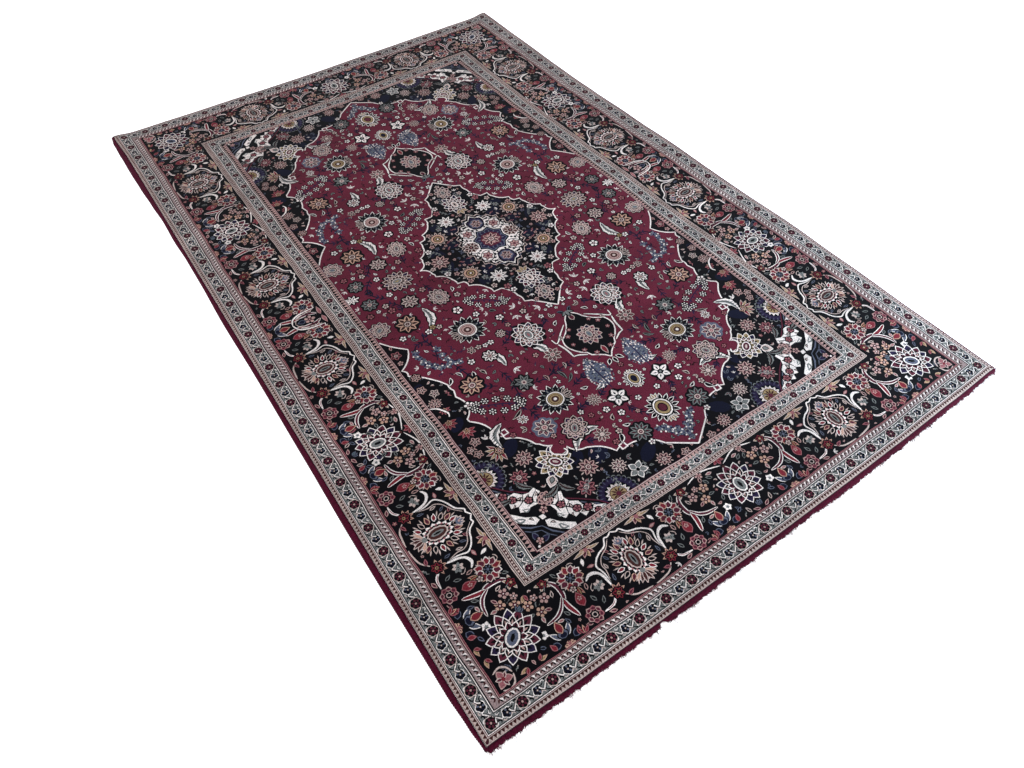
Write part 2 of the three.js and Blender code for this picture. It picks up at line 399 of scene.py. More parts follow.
def half_disc(spot, r):
    """A large flower cut by the border: violet teeth round an ivory and gold half bloom."""
    spot.scallop("sage", r * 1.08, 24, 0.1, 3)
    spot.scallop("night", r * 1.03, 24, 0.1, 3)
    for i in range(24):
        spot.turned(15 * i).leaf("violet", r * 0.42, r * 0.26, r * 0.6)
        spot.turned(15 * i).leaf("slate", r * 0.2, r * 0.035, r * 0.76)
    spot.disc("night", r * 0.66, count=16)
    fan(spot, [22.5 * i for i in range(16)], r * 0.4, r * 0.2, "ivory", "cream", r * 0.24, None)
    rings(spot, r, ("brown", 0.44, 14), ("gold", 0.4, 14))
    for i in range(10):
        spot.turned(360 * (i + 0.5) / 10).leaf("brown", r * 0.28, r * 0.1, r * 0.1, 4)
    spot.disc("wine", r * 0.14, count=8)


# Small filling: leaves and blossoms wherever the drawing still leaves room

CELL = 3.0


class Room:
    """Remembers which parts of a quarter are already drawn on."""

    def __init__(self, skip_area):
        self.taken = np.zeros((int(720 / CELL), int(1080 / CELL)), bool)
        for colour, outline in SHAPES:
            q = np.array(outline)
            x, y = q[:, 0], q[:, 1]
            area = abs(np.dot(x, np.roll(y, -1)) - np.dot(y, np.roll(x, -1))) / 2
            wide, tall = np.ptp(x), np.ptp(y)
            if max(wide, tall) > 24 and area < 0.35 * wide * tall:
                self.mark_line(q)
            elif area < skip_area:
                self.mark(q.min(0), q.max(0))

    def mark_line(self, q):
        for a, b in zip(q, np.roll(q, -1, 0)):
            for t in np.arange(0, 1, CELL / max(CELL, math.dist(a, b))):
                p = a + (b - a) * t
                self.mark(p - 1, p + 1)

    def cells(self, low, high):
        a = np.clip(np.floor(np.array(low) / CELL).astype(int), 0, self.taken.shape)
        b = np.clip(np.ceil(np.array(high) / CELL).astype(int), 0, self.taken.shape)
        return slice(a[0], b[0]), slice(a[1], b[1])

    def mark(self, low, high):
        self.taken[self.cells(low, high)] = True

    def free(self, x, y, r):
        return not self.taken[self.cells((x - r, y - r), (x + r, y + r))].any()

    def fill_up(self, area, allowed, r, tries, draw):
        """Tries random places in a box and draws wherever a disc of radius r is still free."""
        x0, y0, x1, y1 = area
        for _ in range(tries):
            x, y = random.uniform(x0, x1), random.uniform(y0, y1)
            if allowed(x, y) and self.free(x, y, r):
                draw(Spot(x, y, random.uniform(0, 360)), r)
                self.mark((x - r, y - r), (x + r, y + r))


def vine(spot, r, edge, fill):
    way = [(-r * 1.2, -r * 0.2), (-r * 0.3, r * 0.25), (r * 0.4, -r * 0.25), (r * 1.1, r * 0.2)]
    spot.line(edge, way, 1.9, steps=2)
    for at, turn in ((-0.7, 50), (-0.1, -50), (0.4, 50), (0.8, -40)):
        spot.at(r * at, 0, turn).leaf(edge, r * 0.7, r * 0.28)
    if fill != edge:
        petal(spot.at(r * 0.9, 0, 10), r * 0.8, r * 0.5, fill, "night")


def filler(kinds):
    """Picks one of the small motifs each time it draws. Columns: motif, edge, fill."""
    def draw(spot, r):
        kind, edge, fill = random.choice(kinds)
        if kind == "leaf":
            petal(spot, r * 2.0, r * 0.95, edge, fill, -r, "night", 4, r * 0.25)
        elif kind == "pair":
            fan(spot.at(-r * 0.6, 0), (-32, 32), r * 1.7, r * 0.75, edge, fill)
        elif kind == "bloom":
            bloom(spot, r * 0.95, edge, fill, "night", 5)
        elif kind == "trio":
            for turn in (-50, 0, 50):
                p = spot.at(-r * 0.8, 0, turn)
                p.leaf(edge, r * 1.7, r * 0.55, steps=4)
                p.leaf(fill, r * 1.0, r * 0.2, r * 0.3)
        elif kind == "vine":
            vine(spot, r, edge, fill)
        elif kind == "curl":
            spot.line(edge, [(-r, -r * 0.3), (0, r * 0.45), (r, -r * 0.3)], 2.4, taper=0.2)
            spot.at(0, r * 0.1, -60).leaf(fill, r * 0.8, r * 0.4)
    return draw


# Stripes of the borders, from the rim in. Columns: half width, half length, colour.

STRIPES = [
    (680.0, 1044.0, "night"), (678.7, 1042.0, "cream"), (677.2, 1040.4, "brown"),
    (671.2, 1033.6, "cream"), (669.8, 1032.3, "wine"), (668.4, 1031.0, "ivory"),
    (667.0, 1029.6, "night"), (665.4, 1028.0, "sage"),
    (643.2, 1006.4, "night"), (641.6, 1005.0, "ivory"), (639.9, 1003.6, "night"),
    (637.8, 1002.0, "dust"), (623.0, 991.6, "night"), (621.6, 990.6, "pink"),
    (620.0, 989.4, "wine"), (618.6, 988.2, "rose"), (617.2, 987.0, "night"),
    (475.0, 854.0, "cream"), (473.4, 852.6, "night"), (471.6, 851.2, "cream"),
    (470.0, 849.8, "brown"), (463.6, 843.8, "cream"), (462.0, 842.4, "night"),
    (460.4, 841.2, "ivory"), (458.8, 840.2, "night"), (457.2, 839.2, "sage"),
    (436.8, 820.0, "night"), (435.0, 819.0, "ivory"), (433.2, 818.2, "night"),
    (431.4, 817.4, "cream"), (429.8, 816.6, "night"), (419.0, 811.6, "wine"),
    (417.6, 810.2, "cream"), (416.2, 808.6, "wine"), (415.0, 807.0, "night"),
]
OUTER_ROWS = [row for row in STRIPES if row[0] > BORDER_X[1]]
INNER_ROWS = [row for row in STRIPES if row[0] <= BORDER_X[0]]


def box(x, y):
    return in_steps([(-60, -60), (x, -60), (x, y), (-60, y)])


def run_spots(half_x, half_y, side_count, end_count):
    """Even places down the side and across the end: a spot, the step and which ways to draw.

    The corner comes twice, once for each run, the second time with no middle of its own.
    """
    for i in range(int(side_count) + 1):
        spot = Spot(half_x, half_y - half_y * i / side_count, 90)
        yield spot, half_y / side_count, SIDES if i else (-1,), True
    for i in range(int(end_count) + 1):
        spot = Spot(half_x - half_x * i / end_count, half_y, 0, 1, -1)
        yield spot, half_x / end_count, SIDES if i else (-1,), i > 0


def even_spots(x, y, pitch):
    return run_spots(x, y, round(y / pitch), round(x / pitch))


def tooth_row(x, y, inner_x, pitch, colour):
    """Small triangles that point from one line to the next."""
    for spot, step, ways, _ in even_spots(x, y, pitch):
        if len(ways) == 2:
            spot.fill(colour, [(-step * 0.46, 0), (step * 0.46, 0), (0, x - inner_x)])


def dot_row(x, y, pitch, colour, size):
    for spot, _, _, whole in even_spots(x, y, pitch):
        if whole:
            spot.fill(colour, [(-size, 0), (0, -size * 0.8), (size, 0), (0, size * 0.8)])


def leaf_row(x, y, pitch):
    """The pink stripe: pale and dark slanting leaves by turns."""
    for spot, step, ways, _ in even_spots(x, y, pitch):
        if len(ways) == 2:
            spot.at(-step * 0.2, 0.4, 52).leaf("ivory", 12.5, 4.2, -6.2, bend=1.6)
            spot.at(step * 0.1, -0.4, 56).leaf("night", 10.0, 3.0, -5.0, bend=1.4)
            spot.at(step * 0.34, 0.6, -48).leaf("brown", 9.0, 3.6, -4.5, bend=1.2)


def hook(spot, size, tone):
    """A comma-shaped leaf."""
    way = [(-size, -size * 0.3), (-size * 0.2, size * 0.5),
           (size * 0.7, size * 0.3), (size * 0.5, -size * 0.4)]
    spot.line(tone, way, size * 0.5, taper=0.35, steps=2)


# Hooks along half a step of a guard. Columns: share of the half step, across, turn, tone, size.

HOOKS = [
    (0.3, 6.6, 30, "night", 5.0), (0.42, -6.4, 200, "night", 5.2), (0.66, 6.2, 150, "night", 4.6),
    (0.74, -7.0, 20, "cream", 4.2), (0.24, -7.6, -20, "ivory", 3.8), (0.52, 7.8, 10, "ivory", 3.6),
]


def black_blossom(spot, r):
    spot.scallop("ivory", r * 1.14, 5, 0.2, 3, 0.25)
    spot.scallop("night", r * 0.96, 5, 0.2, 3, 0.25)
    for i in range(5):
        spot.turned(72 * i + 18).leaf("slate" if i % 2 else "navy", r * 0.62, r * 0.4, r * 0.24)
    spot.disc("cream", r * 0.2, count=4)


def guard_rosette(spot, r):
    spot.scallop("cream", r * 1.3, 6, 0.12, 3)
    spot.scallop("night", r * 1.14, 6, 0.12, 3)
    for i in range(6):
        spot.at(0, 0.3, 60 * i).leaf("wine", r * 0.62, r * 0.5, r * 0.34)
    spot.disc("pink", r * 0.24, count=5)


def floral_row(x, y, side_count, end_count, r=9.2):
    """The guard: dark rosettes and black blossoms by turns, on a vine between hooks."""
    k = r / 9.2
    for spot, step, ways, whole in run_spots(x, y, side_count, end_count):
        half = step / 2
        for side in ways:
            for t, out, turn, tone, size in HOOKS:
                hook(spot.at(side * half * t, out * k, turn, k, side), size, tone)
            way = [(side * 8, -4.5 * k), (side * half * 0.38, 3.6 * k),
                   (side * half * 0.62, -4.6 * k), (side * (half - 5), 3 * k)]
            spot.line("night", way, 5.4 * k, True, 2, ends=False)
            spot.line("ivory", way, 2.3 * k, True, 2, ends=False)
            if side < 0:
                black_blossom(spot.at(side * half, 0), r)
        if whole:
            guard_rosette(spot, r)


def guards(rows):
    for x, y, colour in rows:
        ORIGIN.fill(colour, box(x, y))
        if x == 677.2:
            tooth_row(677.0, 1040.2, 671.4, 7.6, "cream")
        if x == 665.4:
            floral_row(654.2, 1017.0, 16.5, 10.5)
        if x == 637.8:
            leaf_row(630.4, 996.8, 10.6)
        if x == 470.0:
            dot_row(466.8, 846.8, 7.4, "cream", 2.8)
        if x == 457.2:
            floral_row(447.0, 829.6, 13.5, 7.0, 7.6)
        if x == 429.8:
            tooth_row(419.2, 811.8, 429.6, 9.5, "pink")


# The main border. x runs along it from a wreath, y in from its outer edge, up to DEEP.

DEEP = 137.0
WREATHS_ON_END = (279.0,)
WREATHS_ON_SIDE = (166.0, 669.0)
PALMETTE_ON_SIDE = 417.5


def border_spot(run, along):
    if run == "end":
        spot, (inner, outer) = Spot(along, BORDER_Y[1], 0, 1, -1), BORDER_Y
    else:
        spot, (inner, outer) = Spot(BORDER_X[1], along, 90), BORDER_X
    spot.matrix = spot.matrix @ np.diag([1.0, (outer - inner) / DEEP, 1.0])
    return spot


def both_ways(spot):
    """The spot and its mirror image along the border."""
    return spot, spot.at(0, 0, 180, 1, -1)


def outlined(spot, points, width, fill="wine"):
    """A split leaf: an ivory outline round a dark fill."""
    spot.line("night", points, width + 3.4, taper=0.2)
    spot.line("ivory", points, width, taper=0.16)
    spot.line(fill, points, width - 2.3 * LINE, taper=0.05)


def white_line(spot, points, width=3.2, tone="ivory", taper=0.6):
    """A pale line with a dark one on both sides."""
    spot.line("night", points, width + 3.2, taper=taper)
    spot.line(tone, points, width, taper=taper)


def arch_lines(u):
    inner = [(14, 124), (30, 109), (47, 101), (57, 88), (56, 74), (60, 56)]
    arch = [(0, 134), (10, 128), (18, 129), (27, 117), (37, 112), (46, 109), (58, 102), (67, 90),
            (62, 70), (64, 42)]
    u.line("cream", inner, 1.8, taper=0.6, steps=3)
    white_line(u, arch, 3.3, taper=0.8)
    white_line(u, [(64, 42), (67, 66), (76, 81), (88, 86), (99, 79)], 7.0, taper=0.1)
    u.line("night", [(68, 56), (72, 72), (80, 80), (92, 82)], 2.2, taper=0.2)
    white_line(u, [(72, 26), (84, 15), (106, 13)], 4.8, taper=0.15)
    u.line("rose", [(76, 21), (86, 15), (98, 13)], 1.6, taper=0.15)
    white_line(u, [(55, 20), (40, 7), (20, 3), (4, 2)], 3.2, "cream", 0.3)


def big_flower(big):
    big.scallop("night", 29, 10, 0.1)
    for i in range(10):
        edge, fill = ("cream", "ivory", "peach")[i % 3], ("red", "wine")[i % 2]
        petal(big.turned(36 * i + 18), 18.5, 15, edge, fill, 8.5, None, 5)
        big.turned(36 * i).leaf("cream", 9, 3.4, 17)
    big.disc("night", 9.6, count=10)
    for i in range(6):
        big.turned(60 * i).disc("slate", 2.2, 1.6, 5, x=6.2)
    big.disc("slate", 3.2, count=6)
    for turn, tone in ((246, "peach"), (290, "rose"), (268, "gold")):
        petal(big.at(2, -20, turn), 22, 7, tone, "red", 0, "night")


def small_flowers(u):
    flower = u.at(84, 59)
    flower.disc("night", 13.4)
    for i in range(7):
        flower.turned(51.4 * i).leaf("cream" if i % 3 else "sage", 8.4, 6.4, 3.4, 4)
    flower.disc("sage", 4, count=7)
    flower.disc("night", 1.8, count=5)
    half = u.at(62, 133)
    for i in range(5):
        edge, fill = (("peach", "gold"), ("pink", "wine"))[i % 2]
        petal(half.turned(198 + 36 * i), 19, 10, edge, fill, 1, "night")
    half.disc("rose", 5, count=6, y=-3)
    fan(half.at(0, -3), (184, 356), 27, 7, "cream", "gold", 4, None)


def arch_side(u):
    """What lies beside the wreath, under and outside its arch."""
    for x, y, turn, tone in (
            (38, 88, 60, "slate"), (50, 74, 78, "cream"), (53, 48, 100, "slate"), (28, 101, 40, "rose")):
        petal(u.at(x, y, turn), 15, 6, tone, "night")
    arch_lines(u)
    foot = u.at(63, 27)
    fan(foot.at(0, 2), (10, 50, 90, 130, 170), 18, 8, "peach", "wine")
    rosette(foot, 11.5, 6, "night", "red", "wine", "gold")
    scatter(u, 16, 7.5, -2, [
        (86, 4, 20, "pink", "wine"), (99, 58, 120, "cream", "night"), (81, 119, -70, "ivory", "ivory"),
        (104, 40, 70, "sage", "night"), (95, 28, 120, "sage", "night"), (69, 97, 10, "rose", "pink"),
        (100, 124, 10, "cream", "wine"), (94, 104, 60, "sage", "night"), (105, 66, 100, "pink", "night"),
        (48, 14, 160, "rose", "wine")])
    small_flowers(u)
    big_flower(u.at(119, 102))
    bloom(u.at(127, 80), 7, "cream", "wine", "night")
    petal(u.at(127, 42, 90), 32, 19, "rose", "red", 0, "night", 5)
    bloom(u.at(127, 60), 5.4, "pink", "wine")
    small = u.at(123, 19)
    small.scallop("night", 20, 8, 0.1)
    for i in range(8):
        petal(small.turned(45 * i + 22), 10.4, 12.4, ("rose", "pink")[i % 2], "wine", 7.6, None, 5)
    small.disc("cream", 5.4, count=8)
    small.disc("night", 3.9, count=8)


# Small petals beside the joint. Columns: along, across, turn, edge, fill.

JOINT_LEAVES = [
    (168, 33, 75, "slate", "night"), (160, 46, 60, "sage", "night"), (176, 44, 10, "cream", "rose"),
    (228, 60, 60, "sage", "night"), (232, 22, 30, "slate", "night"), (182, 74, 30, "pink", "wine"),
    (166, 92, 110, "cream", "night"), (214, 84, 0, "sage", "night"), (140, 120, 60, "sage", "night"),
    (137, 8, 20, "pink", "wine"),
]


def joint_side(u, near=1.0, cup=False):
    """What lies between the wreath's rosettes and the next palmette."""
    def x(value):
        return 140 + (value - 140) * near
    outlined(u, [(x(158), 120), (x(149), 104), (x(148), 84), (x(153), 68)], 10.5)
    outlined(u, [(x(153), 78), (x(152), 58), (x(145), 32)], 11, "red")
    if cup:
        return
    outlined(u, [(x(152), 82), (x(164), 65), (x(182), 55), (x(205), 53)], 8.5)
    red_bud = u.at(x(168), 122)
    fan(red_bud, (10, 170, 230, 310), 17, 8, "cream", "gold")
    rosette(red_bud, 9.5, 5, "night", "red", "peach", "gold")
    u.line("sage", [(x(166), 118), (x(176), 104), (x(196), 92)], 1.9)
    u.line("sage", [(x(178), 112), (x(200), 98), (x(206), 64)], 1.9)
    for fx, fy, tone, r in (
            (180, 98, "pink", 11.6), (213, 103, "peach", 11.6), (199, 80, "peach", 11.6),
            (196, 110, "pink", 8)):
        bloom(u.at(x(fx), fy, fx), r, tone, "wine", "night")
        u.at(x(fx), fy).disc("ivory", 1.6, count=4)
    petal(u.at(x(204), 72, -90), 14, 8, "cream", "rose", 0, "night")
    crown(u.at(x(192), 0))
    flower = u.at(x(221), 42)
    flower.disc("night", 10.4, count=8)
    for i in range(5):
        flower.turned(72 * i).leaf("ivory", 7.4, 7.4, 2, 4)
    flower.disc("sage", 3, count=6)
    scatter(u, 15, 7, -3, [(x(fx), *rest) for fx, *rest in JOINT_LEAVES])
    for turn, edge in ((60, "rose"), (100, "peach"), (140, "rose")):
        petal(u.at(x(157), 1, turn), 16, 7, edge, "red", 0, "night")


def crown(u):
    """The blue and red half palmette that stands on the outer edge."""
    for side in SIDES:
        petal(u.at(side * 14, 8, 90 - side * 62), 21, 14, "slate", "navy", 0, "night", 5)
        petal(u.at(side * 25, 5, 90 - side * 20), 17, 10, "rose", "red", 0, "night")
        petal(u.at(side * 6, 16, 90 - side * 36), 27, 11, "ivory", "slate", 0, "night", 5)
    u.disc("night", 12.5, 11, 8, y=24)
    u.disc("slate", 10, 8.5, 8, y=24)
    u.disc("navy", 7, 5, 8, y=22)
    petal(u.at(0, 25, 90), 26, 16, "peach", "red", 0, "night", 5)
    u.scallop("peach", 11.5, 7, 0.2, 3, ry=8.5)
    for i in range(5):
        u.at(0, 1, 18 + 36 * i).leaf("wine", 6, 2, 3.5)
    u.disc("rose", 3.4, 2.8, 6, y=3)


def palmette_side(u):
    """Beside a palmette: the two arcs that meet in a V above it, and small leaves."""
    white_line(u, [(88, 127), (62, 134), (38, 134), (4, 121)], 3.2, taper=0.3)
    bloom(u.at(56, 130), 9, "pink", "rose", "night")
    scatter(u, 16, 7.5, -2, [
        (36, 112, 35, "sage", "night"), (30, 122, 10, "cream", "rose"), (8, 4, 25, "pink", "wine"),
        (40, 22, 60, "slate", "night"), (50, 106, 60, "sage", "night"), (27, 8, 70, "cream", "night"),
        (56, 34, 80, "rose", "wine"), (62, 116, 110, "pink", "night")])


def palmette(u):
    lotus(u.at(0, 66), 46, 1.08, 13)
    fan(u.at(0, 9), (60, 90, 120), 13, 7, "slate", "teal")
    fan(u.at(0, 137), (-30, -90, -150), 15, 8, "rose", "red")
    u.disc("brown", 4, 3, 6, y=116)


def corner_piece():
    spot = Spot(546, 920, 135)
    lotus(spot, 48, 1.08, 13, "ivory", "wine", "slate")
    for end in SIDES:
        fan(spot.at(0, end * 47), [90 * end + turn for turn in (-40, 40, 0)], 12, 7, "slate", "teal")
    flower = Spot(598, 969, 45)
    for turn in (70, -160):
        white_line(flower.turned(turn), [(10, -16), (19, -6), (19, 7), (9, 17)], 3.4, "cream", 0.5)
    for turn in (0, 120, 240):
        petal(flower.turned(turn), 18, 14, "pink", "rose", steps=5)
        petal(flower.turned(turn + 60), 15, 8, "cream", "wine")
    flower.disc("red", 3.6, count=8)
    for x, y, turn in ((606, 925, 80), (553, 977, 10), (487, 866, 45), (612, 900, 100), (530, 980, 190)):
        petal(Spot(x, y, turn), 17, 8, "peach", "gold", 0, "night")
        petal(Spot(x, y, turn + 50), 14, 7, "rose", "red", 0, "night")


def middle_of_side():
    u = border_spot("side", 0.0)
    for half in both_ways(u):
        white_line(half, [(0, 57), (18, 64), (28, 84), (32, 116)], 4.0, taper=0.5)
        half.line("cream", [(0, 64), (14, 71), (22, 86), (26, 108)], 1.8, taper=0.5)
        petal(half.at(2, 127, 5), 30, 10, "pink", "rose", 0, "night")
    bloom(u.at(0, 98), 14, "pink", "wine", "night")
    petal(u.at(0, 88, -90), 20, 15, "slate", "navy", 0, "night")
    crown(u)


BORDER_FILL = [
    ("leaf", "sage", "night"), ("leaf", "cream", "rose"), ("pair", "slate", "night"),
    ("trio", "ivory", "wine"), ("bloom", "pink", "wine"), ("curl", "cream", "rose"),
    ("vine", "sage", "cream"), ("vine", "rose", "pink"), ("vine", "slate", "sage"),
    ("bloom", "rose", "peach"), ("leaf", "pink", "wine"), ("pair", "sage", "wine"),
]


def main_border():
    ORIGIN.fill("night", box(BORDER_X[1] + 5, BORDER_Y[1] + 5))
    for run, near, middle, wreaths in (
            ("end", 1.0, 0.0, WREATHS_ON_END), ("side", 0.87, PALMETTE_ON_SIDE, WREATHS_ON_SIDE)):
        u = border_spot(run, middle)
        for half in both_ways(u):
            palmette_side(half)
        palmette(u)
        for along in wreaths:
            u = border_spot(run, along)
            for half in both_ways(u):
                joint_side(half, near, along == WREATHS_ON_SIDE[0] and half is not u)
                arch_side(half)
            wreath(u.at(0, 64))
    middle_of_side()
    corner_piece()
    room = Room(1500)
    (left, right), (near_end, far_end) = BORDER_X, BORDER_Y
    draw = filler(BORDER_FILL)
    for r, tries in ((8.5, 2500), (5.6, 5000), (3.8, 4000)):
        room.fill_up((left + r, 1, right - r, far_end - r), anywhere, r, tries, draw)
        room.fill_up((1, near_end + r, left, far_end - r), anywhere, r, tries, draw)


def anywhere(x, y):
    return True


# The middle of the rug lies a little nearer than the middle of its border. Places below
# were read on the near half, and settle() takes that shift off them.

PULL, PULL_END = 16.0, 850.0


def settle(y):
    return y - PULL * max(0.0, 1 - (y / PULL_END) ** 2)


def settled(points):
    return [(x, settle(y)) for x, y in points]


def read(x, y, turn=0.0):
    return Spot(x, settle(y), turn)


# Corners of the outlines, joined by arcs. Columns: across, along, bow of the arc to the next.

FIELD_EDGE = [
    (0, 803, 0), (57, 763, 16), (141, 724, 0), (140, 716, 0), (152, 721, 6), (192, 680, 0),
    (197, 678, -7), (230, 654, -6), (252, 664, 0), (263, 656, -7), (253, 636, -3),
    (274, 618, 0), (280, 614, 8), (324, 566, 0), (325, 557, 0), (332, 556, 10), (363, 488, 0),
    (364, 480, 16), (351, 414, 0), (346, 396, -2), (349, 374, 6), (407, 304, 5),
    (412, 284, 6), (369, 234, -3), (414, 178, 0),
]
MEDALLION_EDGE = [
    (0, 297, 0), (42, 249, 0), (58, 241, 3), (61, 214, 5), (80, 169, 0), (101, 168, 3),
    (106, 146, 6), (140, 116, 3), (144, 97, 0), (160, 94, 2), (163, 75, 6), (191, 41, 2),
    (193, 27, 7), (214, 0, 0),
]
PENDANT_EDGE = [
    (0, 340, 0), (18, 362, -6), (62, 408, 4), (66, 442, 3), (40, 474, 0), (34, 486, -3), (0, 514, 0),
]


def edge_of(rows):
    return arcs([(x, settle(y), bow) for x, y, bow in rows])


def edge_line(line, width):
    ORIGIN.line("ivory", line, width, False, ends=False)


def near_line(line, x, y, reach):
    return min(math.dist((x, y), p) for p in line) < reach


def within(line):
    """A test for lying inside a closed outline."""
    a = np.array(line, float)
    b = np.roll(a, -1, 0)

    def test(x, y):
        crosses = (a[:, 1] > y) != (b[:, 1] > y)
        slope = (b[:, 0] - a[:, 0]) / np.where(b[:, 1] == a[:, 1], 1e-9, b[:, 1] - a[:, 1])
        return bool((crosses & (x < a[:, 0] + slope * (y - a[:, 1]))).sum() % 2)
    return test


# The corner of the field rectangle. Columns: across, along, radius, tone.

SPANDREL_ROSETTES = [
    (225, 718, 21, "pink"), (256, 754, 20, "rose"), (321, 628, 19, "pink"), (354, 661, 19, "rose"),
    (171, 751, 17, "cream"), (398, 553, 12, "pink"), (381, 538, 13, "pink"), (392, 568, 11, "pink"),
    (84, 791, 16, "pink"), (398, 404, 15, "pink"), (385, 378, 12, "cream"), (402, 236, 14, "rose"),
    (404, 355, 12, "pink"), (36, 803, 12, "pink"),
]


def spandrel():
    """The corner of the field rectangle, outside the scalloped edge."""
    ORIGIN.fill("night", box(FIELD_X + 5, FIELD_Y + 5))
    for x, y, size in (
            (185, 700, 34), (235, 690, 26), (100, 760, 26), (330, 590, 26), (390, 480, 22), (410, 350, 18)):
        read(x, y, 40).disc("navy", size, size * 0.6, 10)
    for x, y in ((414, 622), (213, 799)):
        half_disc(Spot(x, settle(y) + 4), 43)
    for x, y, r, tone in SPANDREL_ROSETTES:
        spot = read(x, y, x)
        rosette(spot, r, 7 if r > 14 else 5, "night", tone)
        if r > 14:
            for i in range(7):
                spot.turned(51.43 * i).leaf("cream", r * 0.42, r * 0.16, r * 0.8)
    for x, y, turn in ((198, 765, 85), (240, 740, 40), (300, 612, 200), (380, 600, 20), (122, 770, 70)):
        sprig(read(x, y, turn), 32)
    spandrel_flowers()
    for x, y, r in ((381, 505, 15), (402, 466, 14), (390, 430, 10)):
        fan(read(x, y), (0, 36, 72, 108, 144, 180), r * 1.4, r * 0.6, "rose", "red")
        rosette(read(x, y), r * 0.6, 5, None, "peach", "red", "gold")
    white_line(ORIGIN, settled([(415, 410), (400, 420), (388, 440), (392, 452)]), 4.0, taper=0.2)
    cartouche()


def spandrel_flowers():
    lily = read(352, 583, 20)
    for i in range(7):
        petal(lily.turned(-75 + 25 * i), 30, 10, "cream", ("red", "gold")[i % 2], 0, "night")
    rosette(lily, 11, 6, "night", "peach", "red")
    flower = read(144, 781, 10)
    fan(flower, (0, 72, 144, 216, 288), 21, 15, "ivory", "sage", 2, steps=5)
    flower.disc("night", 4.4, count=8)
    gold = read(272, 672, 225)
    lotus(gold, 41, 1.0, 13, "ivory", "gold", "wine", "cream")
    petal(gold.at(-33, 0, 180), 30, 24, "ivory", "cream", 0, "night", 5)
    petal(gold.at(-36, 0, 180), 18, 12, "night", "sage")


# The ivory strapwork of the panel, its right half, and the strokes and leaves drawn on it

ARM = [
    (8, -24), (16, -34), (12, -48), (26, -54), (32, -42), (44, -36), (60, -38), (70, -30), (84, -36),
    (96, -32), (112, -36), (128, -28), (116, -22), (104, -24), (96, -16), (84, -20), (78, -8),
    (66, -14), (60, -4), (46, -10), (42, 2), (28, -2), (24, -12),
]
BAR = [(5, 12), (13, 7), (32, 11), (60, 8), (65, 15), (60, 22), (34, 25), (11, 23)]
KNOT = [(0, -1), (7, 5), (0, 11), (-7, 5)]
ARM_STROKES = [
    [(20, -52), (24, -34), (20, -24), (30, -12)], [(44, -38), (40, -22), (46, -8)],
    [(68, -32), (60, -20), (66, -12)], [(92, -34), (86, -26), (92, -16)],
    [(8, -24), (30, -24), (56, -22), (80, -22), (104, -28)],
]
ARM_LEAVES = [
    (50, -28, 30, 15, "night"), (74, -16, 160, 13, "night"), (32, -6, 10, 16, "sage"),
    (36, -34, 60, 12, "night"), (112, -29, 170, 14, "sage"), (20, -42, 80, 11, "night"),
    (56, -9, 70, 11, "night"), (40, 17, 5, 22, "sage"), (20, 15, 170, 12, "night"),
]
PANEL_CORNER = [
    (424, 626), (404, 650), (388, 670), (346, 704), (324, 730), (284, 760), (254, 788), (230, 822),
]
PANEL_FILL = [
    ("bloom", "slate", "ivory"), ("bloom", "pink", "wine"), ("trio", "pink", "night"),
    ("leaf", "slate", "violet"), ("vine", "sage", "cream"), ("leaf", "cream", "night"),
]


def grown(outline, by):
    """The outline moved outwards from its own middle."""
    middle = np.mean(outline, 0)
    return [(x + by * (x - middle[0]) / math.dist((x, y), middle),
             y + by * (y - middle[1]) / math.dist((x, y), middle)) for x, y in outline]


def strap(spot, outline, rim):
    spot.fill("night", grown(outline, rim))
    spot.fill("ivory", outline)


def panel_side(middle, side):
    """What is drawn on one side of the strapwork."""
    def mirrored(points):
        return [(side * x, y) for x, y in points]
    for path in ARM_STROKES:
        middle.line("night", mirrored(path), 2.6, False)
    for x, y, turn, size, tone in ARM_LEAVES:
        p = middle.at(side * x, y, turn if side > 0 else 180 - turn)
        p.leaf(tone, size, size * 0.5, -size / 2, 4, 3 * side)
        p.leaf("cream" if tone == "night" else "ivory", size * 0.6, size * 0.18, -size * 0.3, 4, 3 * side)
    middle.line("slate", mirrored([(0, 24), (20, 31), (62, 33)]), 3.6, False)
    middle.line("slate", mirrored([(0, 33), (14, 39), (30, 40)]), 3.0, False)
    for x, y, r in ((80, -27, 9), (60, -22, 8), (30, -26, 8), (100, -22, 7)):
        bloom(middle.at(side * x, y), r, "rose", "wine", "night")
    petal(middle.at(side * 3, 54, -90 + 42 * side), 20, 12, "slate", "violet", 0, "night")


def cartouche():
    """The ivory angular panel across the spandrel's corner."""
    for shrink, colour in ((0, "wine"), (3, "night"), (7, "slate"), (9.5, "night")):
        ORIGIN.fill(colour, [(x + shrink * 0.7, y + shrink * 0.7) for x, y in PANEL_CORNER] + [(430, 822)])
    middle = Spot(362, 752, -42, 1.06)
    for side in SIDES:
        for turn, x, y in ((-20, 92, 8), (60, 100, -6), (150, 78, 16)):
            spot = middle.at(side * x, y, turn if side > 0 else 180 - turn)
            saz(spot, 30, 10, 5 * side, "sage", "night", "cream")
        for outline in (ARM, BAR):
            strap(middle, [(side * x, y) for x, y in outline], 2.6)
    strap(middle, KNOT, 3.5)
    for side in SIDES:
        panel_side(middle, side)
    lotus(middle.at(0, -34), 16, 1.1, 8, "pink", "wine", "cream")
    bloom(middle.at(0, -10), 9, "pink", "wine", "night")
    bloom(middle.at(0, 54), 8, "pink", "rose", "night")
    middle.at(0, 65).disc("ivory", 2.6, count=6)
    room = Room(1200)
    room.fill_up((290, 715, 412, 806), lambda x, y: x + y > 1130, 5.4, 900, filler(PANEL_FILL))
    for x, y, turn in ((276, 740, -60), (396, 690, -30), (300, 712, 10), (345, 690, -60)):
        saz(Spot(x, y, turn), 42, 12, 7, "sage", "night", "brown")


# Field motifs, read on the near half. STEMS holds paths. The other tables start with x and y.

